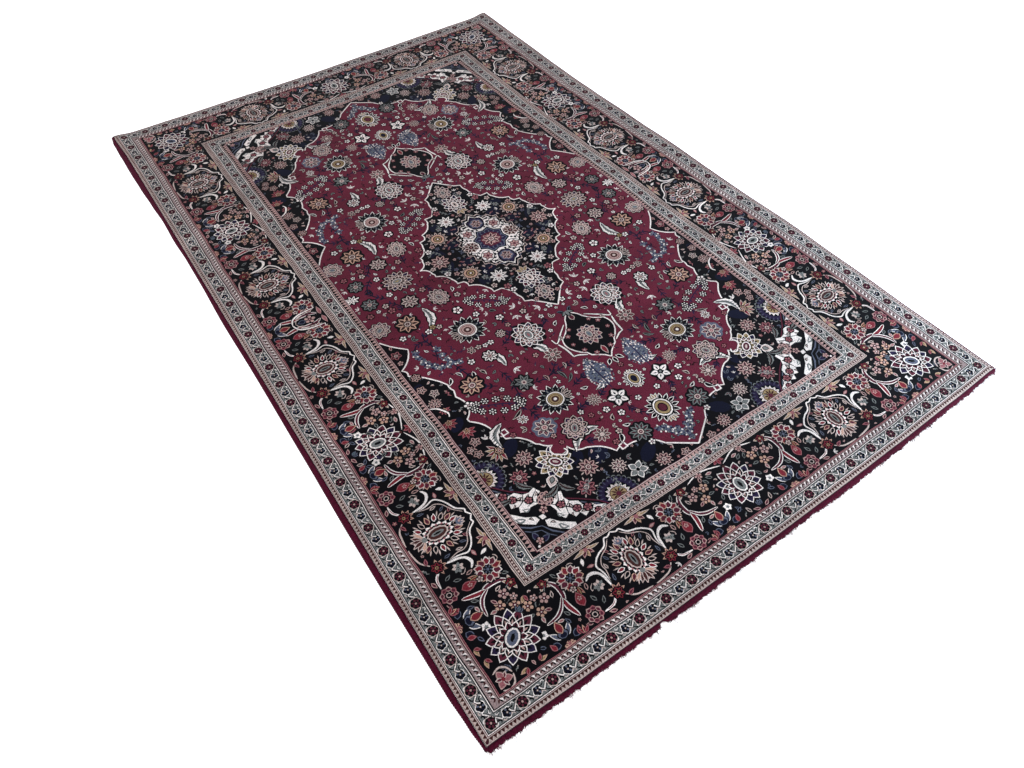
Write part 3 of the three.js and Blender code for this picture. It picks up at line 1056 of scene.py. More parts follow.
STEMS = [
    [(234, 405), (228, 440), (240, 500), (252, 528)], [(240, 530), (236, 560), (238, 572)],
    [(240, 533), (215, 536), (196, 540)], [(198, 474), (150, 480), (112, 452)],
    [(150, 480), (110, 476), (80, 478)], [(126, 534), (100, 526), (84, 524)],
    [(160, 594), (138, 588), (122, 589)], [(96, 590), (76, 580), (66, 570)],
    [(330, 300), (318, 262), (322, 226), (312, 214)], [(322, 232), (350, 236), (366, 262)],
    [(306, 330), (300, 362), (292, 392)], [(232, 60), (226, 92), (224, 108)],
    [(138, 268), (138, 300), (126, 330)], [(57, 322), (60, 340), (96, 348)],
    [(330, 60), (352, 36), (360, 14)], [(320, 120), (316, 96), (338, 70)],
    [(60, 640), (56, 660), (30, 690)], [(190, 660), (176, 672), (156, 672)],
    [(260, 440), (290, 420), (306, 408)], [(186, 346), (160, 334), (146, 316)],
]
ROSETTES = [
    (306, 406, 27, 9, "night", "peach", "wine"), (108, 433, 23, 8, None, "night", "rose"),
    (109, 589, 18, 11, None, "night", "brown"), (240, 589, 25, 8, "slate", "navy", "rose"),
    (81, 712, 25, 10, "night", "sage", "wine"), (151, 671, 20, 9, None, "night", "cream"),
    (289, 97, 22, 8, "night", "cream", "wine"), (330, 161, 28, 8, "night", "peach", "brown"),
    (375, 54, 20, 8, "night", "sage", "wine"), (265, 545, 13, 8, None, "ivory", "brown"),
    (168, 311, 13, 7, "night", "cream", "wine"), (396, 318, 12, 6, "night", "pink", "wine"),
    (250, 317, 12, 6, None, "night", "brown"), (225, 356, 18, 8, "night", "ivory", "wine"),
]
BLOOMS = [
    (340, 451, 12, "ivory"), (332, 462, 8, "cream"), (319, 49, 9, "ivory"), (300, 212, 9, "ivory"),
    (286, 205, 8, "gold"), (272, 212, 8, "cream"), (210, 188, 13, "ivory"), (139, 266, 11, "ivory"),
    (138, 298, 7, "pink"), (57, 319, 7, "ivory"), (81, 281, 9, "cream"), (201, 321, 8, "ivory"),
    (237, 618, 7, "pink"), (154, 601, 7, "ivory"), (141, 619, 7, "rose"), (117, 684, 8, "cream"),
    (78, 745, 8, "ivory"), (345, 79, 9, "cream"), (339, 100, 10, "rose"), (390, 91, 9, "rose"),
    (178, 88, 10, "rose"), (243, 77, 9, "pink"), (180, 142, 9, "cream"), (270, 470, 6, "rose"),
    (306, 568, 7, "rose"), (0, 544, 7, "rose"), (27, 640, 8, "ivory"), (51, 667, 6, "pink"),
    (232, 318, 8, "cream"), (216, 322, 7, "ivory"), (138, 703, 8, "rose"), (358, 13, 8, "violet"),
    (190, 400, 6, "pink"), (232, 640, 6, "rose"), (140, 412, 7, "pink"), (66, 300, 5, "rose"),
]
SAZ_LEAVES = [
    (309, 528, 58, 68, 20, -16), (146, 650, 20, 80, 23, -20), (276, 134, 74, 82, 20, 14),
    (140, 374, 110, 70, 20, 14), (212, 402, -70, 64, 18, -12), (60, 560, 20, 30, 11, 4),
]
BLADES = [
    (254, 520, 25, 34, 9, "cream"), (128, 478, 100, 34, 8, "sage"), (104, 500, 40, 30, 7, "sage"),
    (160, 470, 95, 22, 8, "pink"), (118, 690, 60, 28, 12, "ivory"), (190, 505, 60, 22, 7, "cream"),
    (334, 360, 55, 26, 9, "ivory"), (318, 354, 110, 22, 8, "ivory"), (284, 372, 60, 22, 10, "ivory"),
    (270, 378, 110, 22, 9, "cream"), (102, 465, 75, 20, 7, "cream"), (206, 316, 20, 18, 7, "ivory"),
    (174, 250, 60, 18, 7, "pink"), (66, 264, 40, 18, 7, "rose"), (20, 330, 130, 22, 8, "slate"),
    (222, 446, 30, 18, 7, "sage"), (88, 376, 20, 18, 7, "rose"), (60, 395, 60, 16, 6, "cream"),
]
DRY_SPRAY = [
    (36, 732), (26, 744), (16, 758), (30, 738), (22, 750), (10, 764), (0, 770), (44, 728), (12, 752),
    (0, 782),
]
LONG_SPRAY = [
    (363, 256), (362, 272), (360, 288), (352, 302), (342, 314), (331, 323), (317, 326), (357, 296),
    (348, 309), (337, 320), (308, 316), (302, 325), (311, 306), (313, 290), (313, 270), (291, 331),
]


def stem(points):
    ORIGIN.line("navy", settled(points), 3.4, taper=0.4)
    for (x, y), (nx, ny) in zip(points, points[1:]):
        turn = math.degrees(math.atan2(ny - y, nx - x))
        for side in SIDES:
            for t, tone in ((0.3, "navy"), (0.65, "violet")):
                read(x + (nx - x) * t, y + (ny - y) * t, turn + side * 42).leaf(tone, 14, 4.6)


def spray(places, r):
    """Slate leaflets strung along a drooping spray."""
    points = []
    for i, (x, y) in enumerate(places):
        read(x, y).disc("slate", r * 0.9, count=7)
        for k in range(10):
            a, far = 0.63 * k + i, r * random.uniform(0.3, 1.3)
            points.append((x + far * math.cos(a), settle(y) + far * math.sin(a)))
    stipple(ORIGIN, points, 2.8, ("slate", "ivory", "sage", "slate", "violet"))


def field_motifs():
    for points in STEMS:
        stem(points)
    for x, y, turn, length, width, bend in SAZ_LEAVES:
        saz(read(x, y, turn), length, width, bend)
    for x, y, turn, length, width, colour in BLADES:
        petal(read(x, y, turn), length, width, colour, "night", 0, "night", 5, 3)
    for x, y, r, lobes, rim, tone, heart in ROSETTES:
        rosette(read(x, y, 3 * x), r, lobes, rim, tone, heart)
    for x, y, r, tone in BLOOMS:
        bloom(read(x, y, 2 * x), r, tone, "wine", "night")
    eye_flower(read(178, 541, 180), 36)
    eye_flower(read(223, 256, 10), 38, "pink", "brown", "cream")
    lotus(read(189, 626, 150), 30, 1.05, 10, "cream", "night", "sage", "wine")
    lotus(read(117, 352, 180), 40, 1.0, 12, "ivory", "night", "sage", "rose")
    lotus(read(222, 124, 200), 26, 1.2, 11, "cream", "night", "sage", "wine")
    lotus(read(279, 16, 90), 35, 1.15, 14, "cream", "brown", "sage", "gold")
    lotus(read(395, 143, 120), 26, 1.1, 10, "cream", "night", "sage", "slate")
    daisy(read(207, 463, 10), 22, 8, "night", "sage", "cream", "wine")
    daisy(read(404, 11), 21, 10, "night", "ivory", "night", "gold")
    daisy(read(61, 613, 18), 24, 5, "night", "ivory", "night", "sage")
    chain(read(288, 484, 155), 54, 17, 13, 8.6)
    chain(read(134, 200, 145), 49, 16, 12, 8.2)
    feather(read(53, 572, -87), 90, 56)
    spray(DRY_SPRAY, 8)
    spray(LONG_SPRAY, 8.5)
    oval_palmette(read(0, 691), 36, 1.2)
    oval_palmette(read(0, 592), 24, 1.4, "gold", "navy")
    for turn in (30, 90, 150):
        read(0, 340, turn).leaf("night", 21, 12, steps=5)
        read(0, 340, turn).leaf("sage", 17, 7, steps=5)


# Small blossoms in the medallion. Columns: x, y, radius, tone.

MEDALLION_BLOOMS = [
    (63, 172, 11, "rose"), (57, 191, 9, "ivory"), (162, 50, 10, "ivory"), (143, 62, 8, "pink"),
    (92, 112, 9, "sage"), (36, 214, 8, "cream"), (88, 150, 9, "cream"), (128, 104, 8, "pink"),
    (184, 14, 8, "cream"), (30, 252, 7, "pink"), (0, 272, 8, "cream"), (136, 48, 7, "slate"),
]


def medallion():
    line = arcs(MEDALLION_EDGE)
    ORIGIN.fill("night", [(-60, line[0][1])] + line + [(line[-1][0], -60), (-60, -60)])
    for x, y, size in ((104, 50, 34), (80, 104, 40), (20, 205, 26), (150, 30, 26)):
        Spot(x, y, 45).disc("navy", size, size * 0.6, 10)
    edge_line(line, 3.4)
    rosette(Spot(157, 0), 26, 9)
    ring = Spot(114, 80)
    rosette(ring, 28, 12, "night", "cream", "brown", "gold")
    for size, tone in (
            (19, "night"), (17.4, "peach"), (12.4, "brown"), (9.4, "gold"), (6, "brown"), (2.6, "ivory")):
        ring.disc(tone, size, count=12)
    daisy(Spot(61, 128), 24, 9, "night", "ivory", "cream", "wine")
    lotus(Spot(0, 178), 34, 1.25, 12, "ivory", "wine", "cream")
    fan(Spot(0, 150), (-35, -90, -145), 22, 12, "cream", "gold")
    lotus(Spot(0, 240), 24, 1.2, 10, "cream")
    for x, y, r, tone in MEDALLION_BLOOMS:
        bloom(Spot(x, y, x), r, tone, "wine", "night")
    for x, y, turn in ((98, 104, 120), (140, 20, 60), (40, 150, 60), (175, 30, 140), (30, 196, 100)):
        sprig(Spot(x, y, turn), 26, 3)
    middle_star()
    room = Room(1500)
    inner = within(line + [(0, 0)])
    for r in (5.4, 4.0):
        room.fill_up((1, 1, 214, 297), lambda x, y: inner(x, y) and not near_line(line, x, y, r + 2.6),
                     r, 2500, filler(BORDER_FILL))


# The star's corners in one quarter, its flecks (x, y, turn) and its small panel

STAR_CORNERS = [
    (0, 116), (12, 99), (24, 101), (29, 84), (42, 87), (50, 73), (62, 69), (59, 53), (71, 46), (67, 30),
    (79, 23), (75, 10), (87, 0),
]
STAR_FLECKS = [
    (16, 92, 120), (32, 78, 150), (47, 73, 100), (61, 56, 60), (64, 38, 130), (74, 22, 40),
    (22, 56, 60), (48, 24, 20), (56, 30, 100), (30, 66, 10), (37, 78, 60), (62, 46, 10), (12, 50, 90),
    (44, 12, 0),
]
PANEL = [
    (0, 34), (12, 21), (22, 19), (24, 0), (17, -18), (0, -25), (-17, -18), (-24, 0), (-22, 19), (-12, 21),
]


def around(corners, size):
    """The outline with these corners in every quarter."""
    half = [(x * size, y * size) for x, y in corners]
    half = half + [(x, -y) for x, y in half[-2::-1]]
    return half + [(-x, y) for x, y in half[-2:0:-1]]


def middle_star():
    """The ivory star in the medallion, with its eight-pointed panel and rosette."""
    for size, tone in ((1.08, "cream"), (1.05, "night"), (0.98, "ivory"), (0.92, "night"), (0.885, "ivory")):
        ORIGIN.fill(tone, around(STAR_CORNERS, size))
    for x, y, turn in STAR_FLECKS:
        Spot(x, y, turn).leaf("night", 11, 6.5, -5.5)
    top = Spot(0, 74)
    top.fill("night", PANEL)
    top.fill("violet", [(x * 0.87, y * 0.87) for x, y in PANEL])
    rosette(top, 16, 7, "slate")
    side = Spot(61, 0)
    side.disc("night", 20, 18, 14)
    fan(side, [45 * i for i in range(8)], 18, 11, "cream", "brown", 5, None)
    side.disc("night", 6, count=8)
    side.disc("rose", 3, count=6)
    oval = Spot(41, 50, 50)
    oval.disc("night", 23, 18, 14)
    oval.disc("ivory", 20.5, 15.5, 14)
    fan(oval, [60 * i for i in range(6)], 12, 9, "rose", "pink", 2)
    oval.disc("wine", 3.6, count=7)
    for x in (-17, 17):
        oval.at(x, 0, 90).leaf("night", 8, 4, -4)
    for size, tone in ((51, "ivory"), (48, "night"), (43.5, "slate"), (40.5, "violet")):
        ORIGIN.fill(tone, [(x, 1.06 * y) for x, y in star(size, 8, 0.2, 0.5)])
    for i in range(16):
        ORIGIN.turned(22.5 * i).leaf("slate", 8, 4, 27)
    ORIGIN.disc("night", 27, count=16)
    rosette(ORIGIN, 25, 9, "wine")


def pendant():
    line = edge_of(PENDANT_EDGE)
    ORIGIN.fill("night", [(-x, y) for x, y in line[::-1]] + line)
    edge_line(line, 3.0)
    for points, width in (
            ([(30, 372), (56, 392), (80, 412), (84, 396)], 3.4), ([(80, 416), (74, 438), (72, 466)], 4.4),
            ([(72, 466), (58, 470), (42, 480)], 3.4)):
        white_line(ORIGIN, settled(points), width)
    lotus(read(0, 430), 31, 1.1, 12, "cream", "rose", "sage", "slate")
    for x, y, r in ((40, 464, 7), (20, 486, 7), (46, 408, 7), (30, 392, 6), (52, 436, 6)):
        bloom(read(x, y), r, "rose", "cream", "night")
    petal(read(0, 474, 90), 30, 14, "cream", "red", 0, "night")
    petal(read(0, 374, 270), 24, 14, "cream", "wine", 0, "night")
    for x, turn in ((0, 90), (8, 50)):
        petal(read(x, 516, turn), 22, 11, "ivory", "night", 0, "night")


FIELD_FILL = [
    ("leaf", "cream", "night"), ("pair", "sage", "night"), ("vine", "night", "cream"),
    ("bloom", "ivory", "night"), ("vine", "violet", "sage"), ("leaf", "ivory", "night"),
    ("pair", "cream", "night"), ("leaf", "sage", "night"), ("vine", "night", "night"),
    ("vine", "violet", "ivory"), ("trio", "ivory", "night"), ("vine", "navy", "pink"),
]


def fill_spandrel(line, crimson_part):
    room = Room(1500)
    for r, tries in ((8.0, 900), (5.6, 2200), (4.0, 2500)):
        def allowed(x, y):
            outside = x + 0.8 * y > 420 and not crimson_part(x, y)
            return outside and not near_line(line, x, y, r + 2.4)
        room.fill_up((1, 150, FIELD_X - r, FIELD_Y - r), allowed, r, tries, filler(BORDER_FILL))


def fill_field(line, crimson_part):
    medallion_line = arcs(MEDALLION_EDGE)
    medallion_part = within(medallion_line + [(0, 0)])
    pendant_part = within([(-1, 300)] + edge_of(PENDANT_EDGE) + [(-1, 520)])
    room = Room(1500)
    for r, tries in ((9.5, 1500), (6.4, 3200), (4.6, 3200)):
        def allowed(x, y):
            inside = crimson_part(x, y) and not medallion_part(x, y) and not pendant_part(x, y)
            return inside and not near_line(line, x, y, r + 3) and not near_line(medallion_line, x, y, r + 4)
        room.fill_up((r, 1, FIELD_X - r, FIELD_Y - r), allowed, r, tries, filler(FIELD_FILL))


def field():
    line = edge_of(FIELD_EDGE)
    # The field meets the guard along its side, below the last corner
    right = FIELD_X + 0.4
    inside = line + [(right, settle(178)), (right, -60), (-60, -60), (-60, line[0][1])]
    crimson_part = within(inside)
    spandrel()
    fill_spandrel(line, crimson_part)
    ORIGIN.fill("crimson", inside)
    edge_line(line, 3.3)
    for x, y in ((133, 719), (317, 551)):
        for colour, half in (("ivory", 8), ("crimson", 5)):
            read(x, y, 4).fill(colour, [(-half, -half), (half, -half), (half, half), (-half, half)])
    white_line(ORIGIN, settled([(252, 664), (243, 669), (235, 663), (238, 655)]), 3.8)
    pendant()
    field_motifs()
    fill_field(line, crimson_part)
    medallion()


# The pile's own unevenness, as in the solids. Columns: place along the edge, offset.

PILE_LEFT, PILE_RIGHT = -680.0, 677.0
PILE_NEAR, PILE_FAR = -1042.0, 1043.0
PILE_TOP = 9.0
RIM_REACH, RIM_DROP = 7.0, 2.2
LIFT = 0.4
LEFT_STRAY = [
    (-1042, -1), (-800, -1), (-330, 0), (250, 0.5), (770, 1.5), (900, 1), (1043, -3),
]
RIGHT_STRAY = [
    (-1042, -1), (-850, 0), (-600, 4), (-450, 6), (-200, 0), (0, 1), (200, -4),
    (400, -8), (480, -10), (600, -8), (850, -3), (1043, 1),
]
NEAR_STRAY = [
    (-680, 0), (-450, -4), (-270, -5), (-50, -6.5), (170, -6.5), (340, -5), (520, -2), (677, 2),
]
FAR_STRAY = [
    (-680, 2), (-550, 0), (-380, -4), (-160, -8), (0, -9), (200, -5), (430, -2), (560, 0), (677, 2),
]
FLARE, FLARE_REACH, FLARE_START = 11.0, 60.0, 900.0


def ease(t):
    t = np.clip(t, 0, 1)
    return t * t * (3 - 2 * t)


def from_table(table, at):
    at = np.asarray(at, float)
    value = np.full(at.shape, float(table[0][1]))
    for (a, va), (b, vb) in zip(table, table[1:]):
        value = np.where(at > a, va + (vb - va) * ease((at - a) / (b - a)), value)
    return value


def place(x, y):
    """Where a point of the straight drawing lies in the slightly bowed rug."""
    u = np.clip((x - PILE_LEFT) / (PILE_RIGHT - PILE_LEFT), 0, 1)
    v = np.clip((y - PILE_NEAR) / (PILE_FAR - PILE_NEAR), 0, 1)
    side = np.minimum(x - PILE_LEFT, PILE_RIGHT - x)
    flare = FLARE * ease(1 - side / FLARE_REACH) * ease((y - FLARE_START) / (PILE_FAR - FLARE_START))
    left, right = from_table(LEFT_STRAY, y), from_table(RIGHT_STRAY, y)
    near, far = from_table(NEAR_STRAY, x), from_table(FAR_STRAY, x)
    return x + left + (right - left) * u, y + near + (far - near) * v + flare


def wave(x, y):
    slow = 0.45 * np.sin(x / 173 + 0.8) * np.cos(y / 211 - 0.4)
    return slow + 0.22 * np.sin(x / 61 + y / 97 + 1.7)


def pile_height(x, y):
    rim = np.minimum(np.minimum(x - PILE_LEFT, PILE_RIGHT - x), np.minimum(y - PILE_NEAR, PILE_FAR - y))
    return PILE_TOP + wave(x, y) - RIM_DROP * np.clip(1 - rim / RIM_REACH, 0, 1) ** 2


def waver(x, y):
    """The knotter's hand: the drawing is never quite straight, except at the rim."""
    dx = 0.7 * np.sin(x / 31 + y / 47) + 0.5 * np.sin(y / 17 + x / 83 + 2) + 0.25 * np.sin(x / 7.3 - y / 9.1)
    dy = 0.8 * np.sin(y / 37 - x / 53 + 1) + 0.5 * np.sin(x / 19 + y / 71) + 0.25 * np.sin(y / 6.7 + x / 8.9)
    calm = np.clip(np.minimum(HALF_X - np.abs(x), HALF_Y - np.abs(y)) / 25, 0, 1)
    return dx * calm, dy * calm


def shift_of_middle(x, y):
    across = 1 - 0.6 * np.clip(np.abs(x) / BORDER_X[1], 0, 1.1) ** 2
    return PULL * across * np.clip(1 - (y / PULL_END) ** 2, 0, 1)


# From shapes to triangles. SNAP is the mesh's finest step, GRID the step of its inner points.

SNAP = 0.4
GRID = 24.0


def wound(outline):
    """The outline without doubled points, anticlockwise, and ending on its leftmost point."""
    clean = [q for i, q in enumerate(outline) if math.dist(q, outline[i - 1]) > 0.02]
    if len(clean) < 3:
        return None
    i = min(range(len(clean)), key=lambda k: tuple(clean[k]))
    (ax, ay), (bx, by), (cx, cy) = clean[i - 1], clean[i], clean[(i + 1) % len(clean)]
    ordered = clean[i + 1:] + clean[:i + 1]
    if (bx - ax) * (cy - by) - (by - ay) * (cx - bx) < 0:
        ordered = ordered[-2::-1] + ordered[-1:]
    return ordered


def grid_points(zone):
    inside = within(zone)
    (left, low), (right, high) = np.min(zone, 0), np.max(zone, 0)
    return [Vector((x, y)) for x in np.arange(left + GRID / 2, right, GRID)
            for y in np.arange(low + GRID / 2, high, GRID) if inside(x, y)]


def weave(zone, shapes):
    """Triangles of one quarter of a zone: points, faces and the yarn of each face."""
    points = [Vector(p) for p in wound(zone)]
    faces = [list(range(len(points)))]
    yarns = [-1]
    for colour, outline in shapes:
        clean = wound(outline)
        if clean:
            faces.append(list(range(len(points), len(points) + len(clean))))
            yarns.append(colour)
            points.extend(Vector(q) for q in clean)
    out = delaunay_2d_cdt(points, [], faces, 1, 1e-3, True)
    spots = np.array([(v.x, v.y) for v in out[0]])
    kept, colours = [], []
    for face, sources in zip(out[2], out[5]):
        if 0 in sources and len(sources) > 1:
            kept.append(face)
            colours.append(yarns[max(sources)])
    return only_changes(spots, np.array(kept), np.array(colours), zone)


def colour_lines(faces, colours):
    """The mesh's edges at the rim and between two yarns."""
    pairs = np.sort(np.concatenate([faces[:, [0, 1]], faces[:, [1, 2]], faces[:, [2, 0]]]), axis=1)
    owner = np.tile(np.arange(len(faces)), 3)
    order = np.lexsort((pairs[:, 1], pairs[:, 0]))
    pairs, owner = pairs[order], owner[order]
    shared = np.flatnonzero((pairs[1:] == pairs[:-1]).all(1))
    alone = np.ones(len(pairs), bool)
    alone[shared] = alone[shared + 1] = False
    changes = shared[colours[owner[shared]] != colours[owner[shared + 1]]]
    return np.concatenate([pairs[alone], pairs[changes]])


def only_changes(spots, faces, colours, zone):
    """The same picture with only the lines where the yarn changes, and a grid of points."""
    lines = colour_lines(faces, colours)
    places, back = np.unique(np.round(spots / SNAP) * SNAP, axis=0, return_inverse=True)
    lines = np.unique(np.sort(back.reshape(-1)[lines], axis=1), axis=0)
    lines = lines[lines[:, 0] != lines[:, 1]]
    used, lines = np.unique(lines, return_inverse=True)
    points = [Vector(p) for p in places[used]] + grid_points(zone)
    out = delaunay_2d_cdt(points, lines.reshape(-1, 2).tolist(), [], 1, 1e-3, False)
    fresh = np.array([(v.x, v.y) for v in out[0]])
    triangles = np.array(out[2])
    old = BVHTree.FromPolygons([(x, y, 0) for x, y in spots], faces.tolist(), all_triangles=True)
    hits = [old.find_nearest((x, y, 0)) for x, y in fresh[triangles].mean(1)]
    inside = np.array([hit[3] for hit in hits]) < SNAP
    found = np.array([hit[2] for hit in hits])
    return fresh, triangles[inside], colours[found[inside]]


def both_sides(spots, faces, colours, end):
    """Mirrors a quarter into one half of the rug, near or far, and joins it along the axis."""
    all_spots, all_faces = [], []
    for sx in (1, -1):
        turned = faces if sx * end > 0 else faces[:, ::-1]
        all_faces.append(turned + len(spots) * len(all_spots))
        all_spots.append(spots * (sx, end))
    joined = np.concatenate(all_spots)
    _, first, back = np.unique(np.round(joined, 3) + 0.0, axis=0, return_index=True, return_inverse=True)
    triangles = back.reshape(-1)[np.concatenate(all_faces)]
    a, b, c = triangles.T
    real = (a != b) & (b != c) & (a != c)
    return joined[first], triangles[real], np.concatenate([colours, colours])[real]


def stretched(values, low, high, half):
    """The drawing stretched a little to the pile's own rim."""
    return np.where(values > 0, values * high / half, values * -low / half)


def lay_down(x, y):
    """From drawing to scene: bowed, waved and in metres."""
    dx, dy = waver(x, y)
    px, py = place(x + dx, y + dy - shift_of_middle(x, y))
    z = pile_height(np.clip(x, PILE_LEFT, PILE_RIGHT), np.clip(y, PILE_NEAR, PILE_FAR)) + LIFT
    return np.stack([px - CENTRE[0], py - CENTRE[1], z], 1) * MM


def linear(rgb):
    c = np.array(rgb, float) / 255
    return np.where(c <= 0.04045, c / 12.92, ((c + 0.055) / 1.055) ** 2.4)


def new_mesh(name, points, faces, material, yarn_of_face=None):
    mesh = bpy.data.meshes.new(name)
    mesh.from_pydata([tuple(p) for p in points], [], [tuple(int(i) for i in f) for f in faces])
    piece = bpy.data.objects.new(name, mesh)
    bpy.context.scene.collection.objects.link(piece)
    if yarn_of_face is not None:
        table = np.array([(*linear(YARNS[n]), 1.0) for n in NAMES])
        per_corner = np.repeat(np.asarray(yarn_of_face), [len(f) for f in faces])
        colour = mesh.color_attributes.new("yarn", "FLOAT_COLOR", "CORNER")
        colour.data.foreach_set("color", table[per_corner].astype(np.float32).ravel())
    mesh.materials.append(material)
    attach(piece, "root")
    return piece


def make_zone(name, zone, shapes):
    """The two halves of one zone of the pile, as near and far pieces."""
    quarter = weave(zone, shapes)
    pieces = []
    for end, suffix in ((-1, "_near"), (1, "_far")):
        points, faces, colours = both_sides(*quarter, end)
        x = stretched(points[:, 0], PILE_LEFT, PILE_RIGHT, HALF_X)
        y = stretched(points[:, 1], PILE_NEAR, PILE_FAR, HALF_Y)
        piece = new_mesh(name + suffix, lay_down(x, y), faces, PILE, colours)
        pieces.append(piece)
    return pieces


# Materials

def put(node, **inputs):
    """Sets a node's inputs by name, each to a value or to another node's output."""
    for name, value in inputs.items():
        socket = node.inputs[name.replace("_", " ")]
        if isinstance(value, bpy.types.NodeSocket):
            node.id_data.links.new(value, socket)
        else:
            socket.default_value = value
    return node


def new_node(tree, kind, **inputs):
    return put(tree.nodes.new("ShaderNode" + kind), **inputs)


def new_material(name):
    material = bpy.data.materials.new(name)
    material.use_nodes = True
    tree = material.node_tree
    tree.nodes.clear()
    shader = new_node(tree, "BsdfPrincipled")
    new_node(tree, "OutputMaterial", Surface=shader.outputs["BSDF"])
    return material, tree, shader


def noise_at(tree, scale, stretch=(1, 1, 1), detail=2.0):
    where = new_node(tree, "TexCoord").outputs["Object"]
    scaled = new_node(tree, "Mapping", Vector=where, Scale=stretch).outputs["Vector"]
    return new_node(tree, "TexNoise", Vector=scaled, Scale=scale, Detail=detail).outputs["Fac"]


def between(tree, value, low, high):
    """Spreads the middle of a noise over a range."""
    node = new_node(tree, "MapRange", Value=value, From_Min=0.3, From_Max=0.7, To_Min=low, To_Max=high)
    return node.outputs["Result"]


def times(tree, first, second):
    node = new_node(tree, "Math")
    node.operation = "MULTIPLY"
    tree.links.new(first, node.inputs[0])
    tree.links.new(second, node.inputs[1])
    return node.outputs["Value"]


def wool(tree, shader, colour, factor, depth):
    """A dull, bumpy surface in the colour made lighter or darker by the factor."""
    scaled = new_node(tree, "VectorMath")
    scaled.operation = "SCALE"
    tree.links.new(colour, scaled.inputs[0])
    put(scaled, Scale=factor)
    bump = new_node(tree, "Bump", Strength=1.0, Distance=depth)
    put(bump, Height=noise_at(tree, 500, detail=1.0))
    put(shader, Base_Color=scaled.outputs["Vector"], Normal=bump.outputs["Normal"])
    put(shader, Roughness=0.85, Specular_IOR_Level=0.08, Sheen_Weight=0.07, Sheen_Roughness=0.45)


def yarn_material(name, bands=0.15, tuft_spread=0.33, tuft_scale=420):
    """Wool in the colours of the drawing, with bands of dye, worn patches and tufts."""
    material, tree, shader = new_material(name)
    yarn = new_node(tree, "Attribute")
    yarn.attribute_name = "yarn"
    abrash = between(tree, noise_at(tree, 1.0, (0.8, 16, 1), 3.0), 0.97 - bands, 0.97 + bands)
    tuft = between(tree, noise_at(tree, tuft_scale, detail=1.0), 1 - tuft_spread, 1 + tuft_spread)
    wear = between(tree, noise_at(tree, 7, detail=4.0), 0.88, 1.12)
    factor = times(tree, times(tree, abrash, tuft), wear)
    wool(tree, shader, yarn.outputs["Color"], factor, 0.0006)
    return material


def plain_wool(name, rgb, spread=0.25, scale=300):
    material, tree, shader = new_material(name)
    colour = new_node(tree, "RGB").outputs["Color"]
    colour.default_value = (*linear(rgb), 1)
    factor = between(tree, noise_at(tree, scale), 1 - spread, 1 + spread)
    wool(tree, shader, colour, factor, 0.0004)
    return material


# The drawing's four zones, one quarter each

def ring(inner_x, inner_y, outer_x, outer_y):
    return [(inner_x, 0), (outer_x, 0), (outer_x, outer_y), (0, outer_y), (0, inner_y), (inner_x, inner_y)]


def pattern():
    x, y = BORDER_X, BORDER_Y
    pieces = []
    for name, zone, draw in (
            ("pile_field", [(0, 0), (FIELD_X, 0), (FIELD_X, FIELD_Y), (0, FIELD_Y)], field),
            ("pile_inner_guard", ring(FIELD_X, FIELD_Y, x[0], y[0]), lambda: guards(INNER_ROWS)),
            ("pile_border", ring(x[0], y[0], x[1], y[1]), main_border),
            ("pile_outer_guard", ring(x[1], y[1], HALF_X, HALF_Y), lambda: guards(OUTER_ROWS))):
        shapes = start_zone()
        draw()
        pieces += make_zone(name, in_steps(zone), shapes)
    return pieces


# The cloth under the drawing, and the edges

BASE_STEP = 38


def stations(low, high):
    rim = [0.0, 1.0, 2.1, 4.0, RIM_REACH]
    inner = np.linspace(low + RIM_REACH, high - RIM_REACH, int((high - low) / BASE_STEP))[1:-1]
    return np.array([low + r for r in rim] + list(inner) + [high - r for r in rim[::-1]])


def to_scene(points):
    return (np.asarray(points, float) - (CENTRE[0], CENTRE[1], 0)) * MM


def slab_faces(columns, thin=None):
    """One closed mesh from columns of (x, y, top); the underside lies on the floor.

    The underside has no inner points across the thin axis.
    """
    low = columns if thin is None else np.take(columns, [0, -1], axis=thin)
    top = columns.reshape(-1, 3)
    points = np.concatenate([top, low.reshape(-1, 3) * (1, 1, 0)])
    ids = np.arange(len(top)).reshape(columns.shape[:2])
    under = len(top) + np.arange(low.shape[0] * low.shape[1]).reshape(low.shape[:2])
    faces = []
    for grid, up in ((ids, True), (under, False)):
        a, b, c, d = grid[:-1, :-1], grid[1:, :-1], grid[1:, 1:], grid[:-1, 1:]
        faces.extend(np.stack([a, b, c, d] if up else [a, d, c, b], -1).reshape(-1, 4).tolist())
    for upper, lower in ((ids[:, 0], under[:, 0]), (ids[-1], under[-1]),
                         (ids[::-1, -1], under[::-1, -1]), (ids[0, ::-1], under[0, ::-1])):
        if len(upper) == len(lower):
            faces.extend(np.stack([upper[:-1], lower[:-1], lower[1:], upper[1:]], -1).tolist())
        else:
            faces.append([upper[0], lower[0], lower[-1], *upper[:0:-1]])
    return points, faces


def make_base():
    x, y = np.meshgrid(stations(PILE_LEFT, PILE_RIGHT), stations(PILE_NEAR, PILE_FAR), indexing="ij")
    px, py = place(x, y)
    points, faces = slab_faces(np.stack([px, py, pile_height(x, y)], -1))
    piece = new_mesh("pile_base", to_scene(points), faces, plain_wool("pile_side_wool", (66, 24, 40)))
    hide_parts("rug_pile")
    return piece


# Widths along the edges. Columns: place along the edge, width.

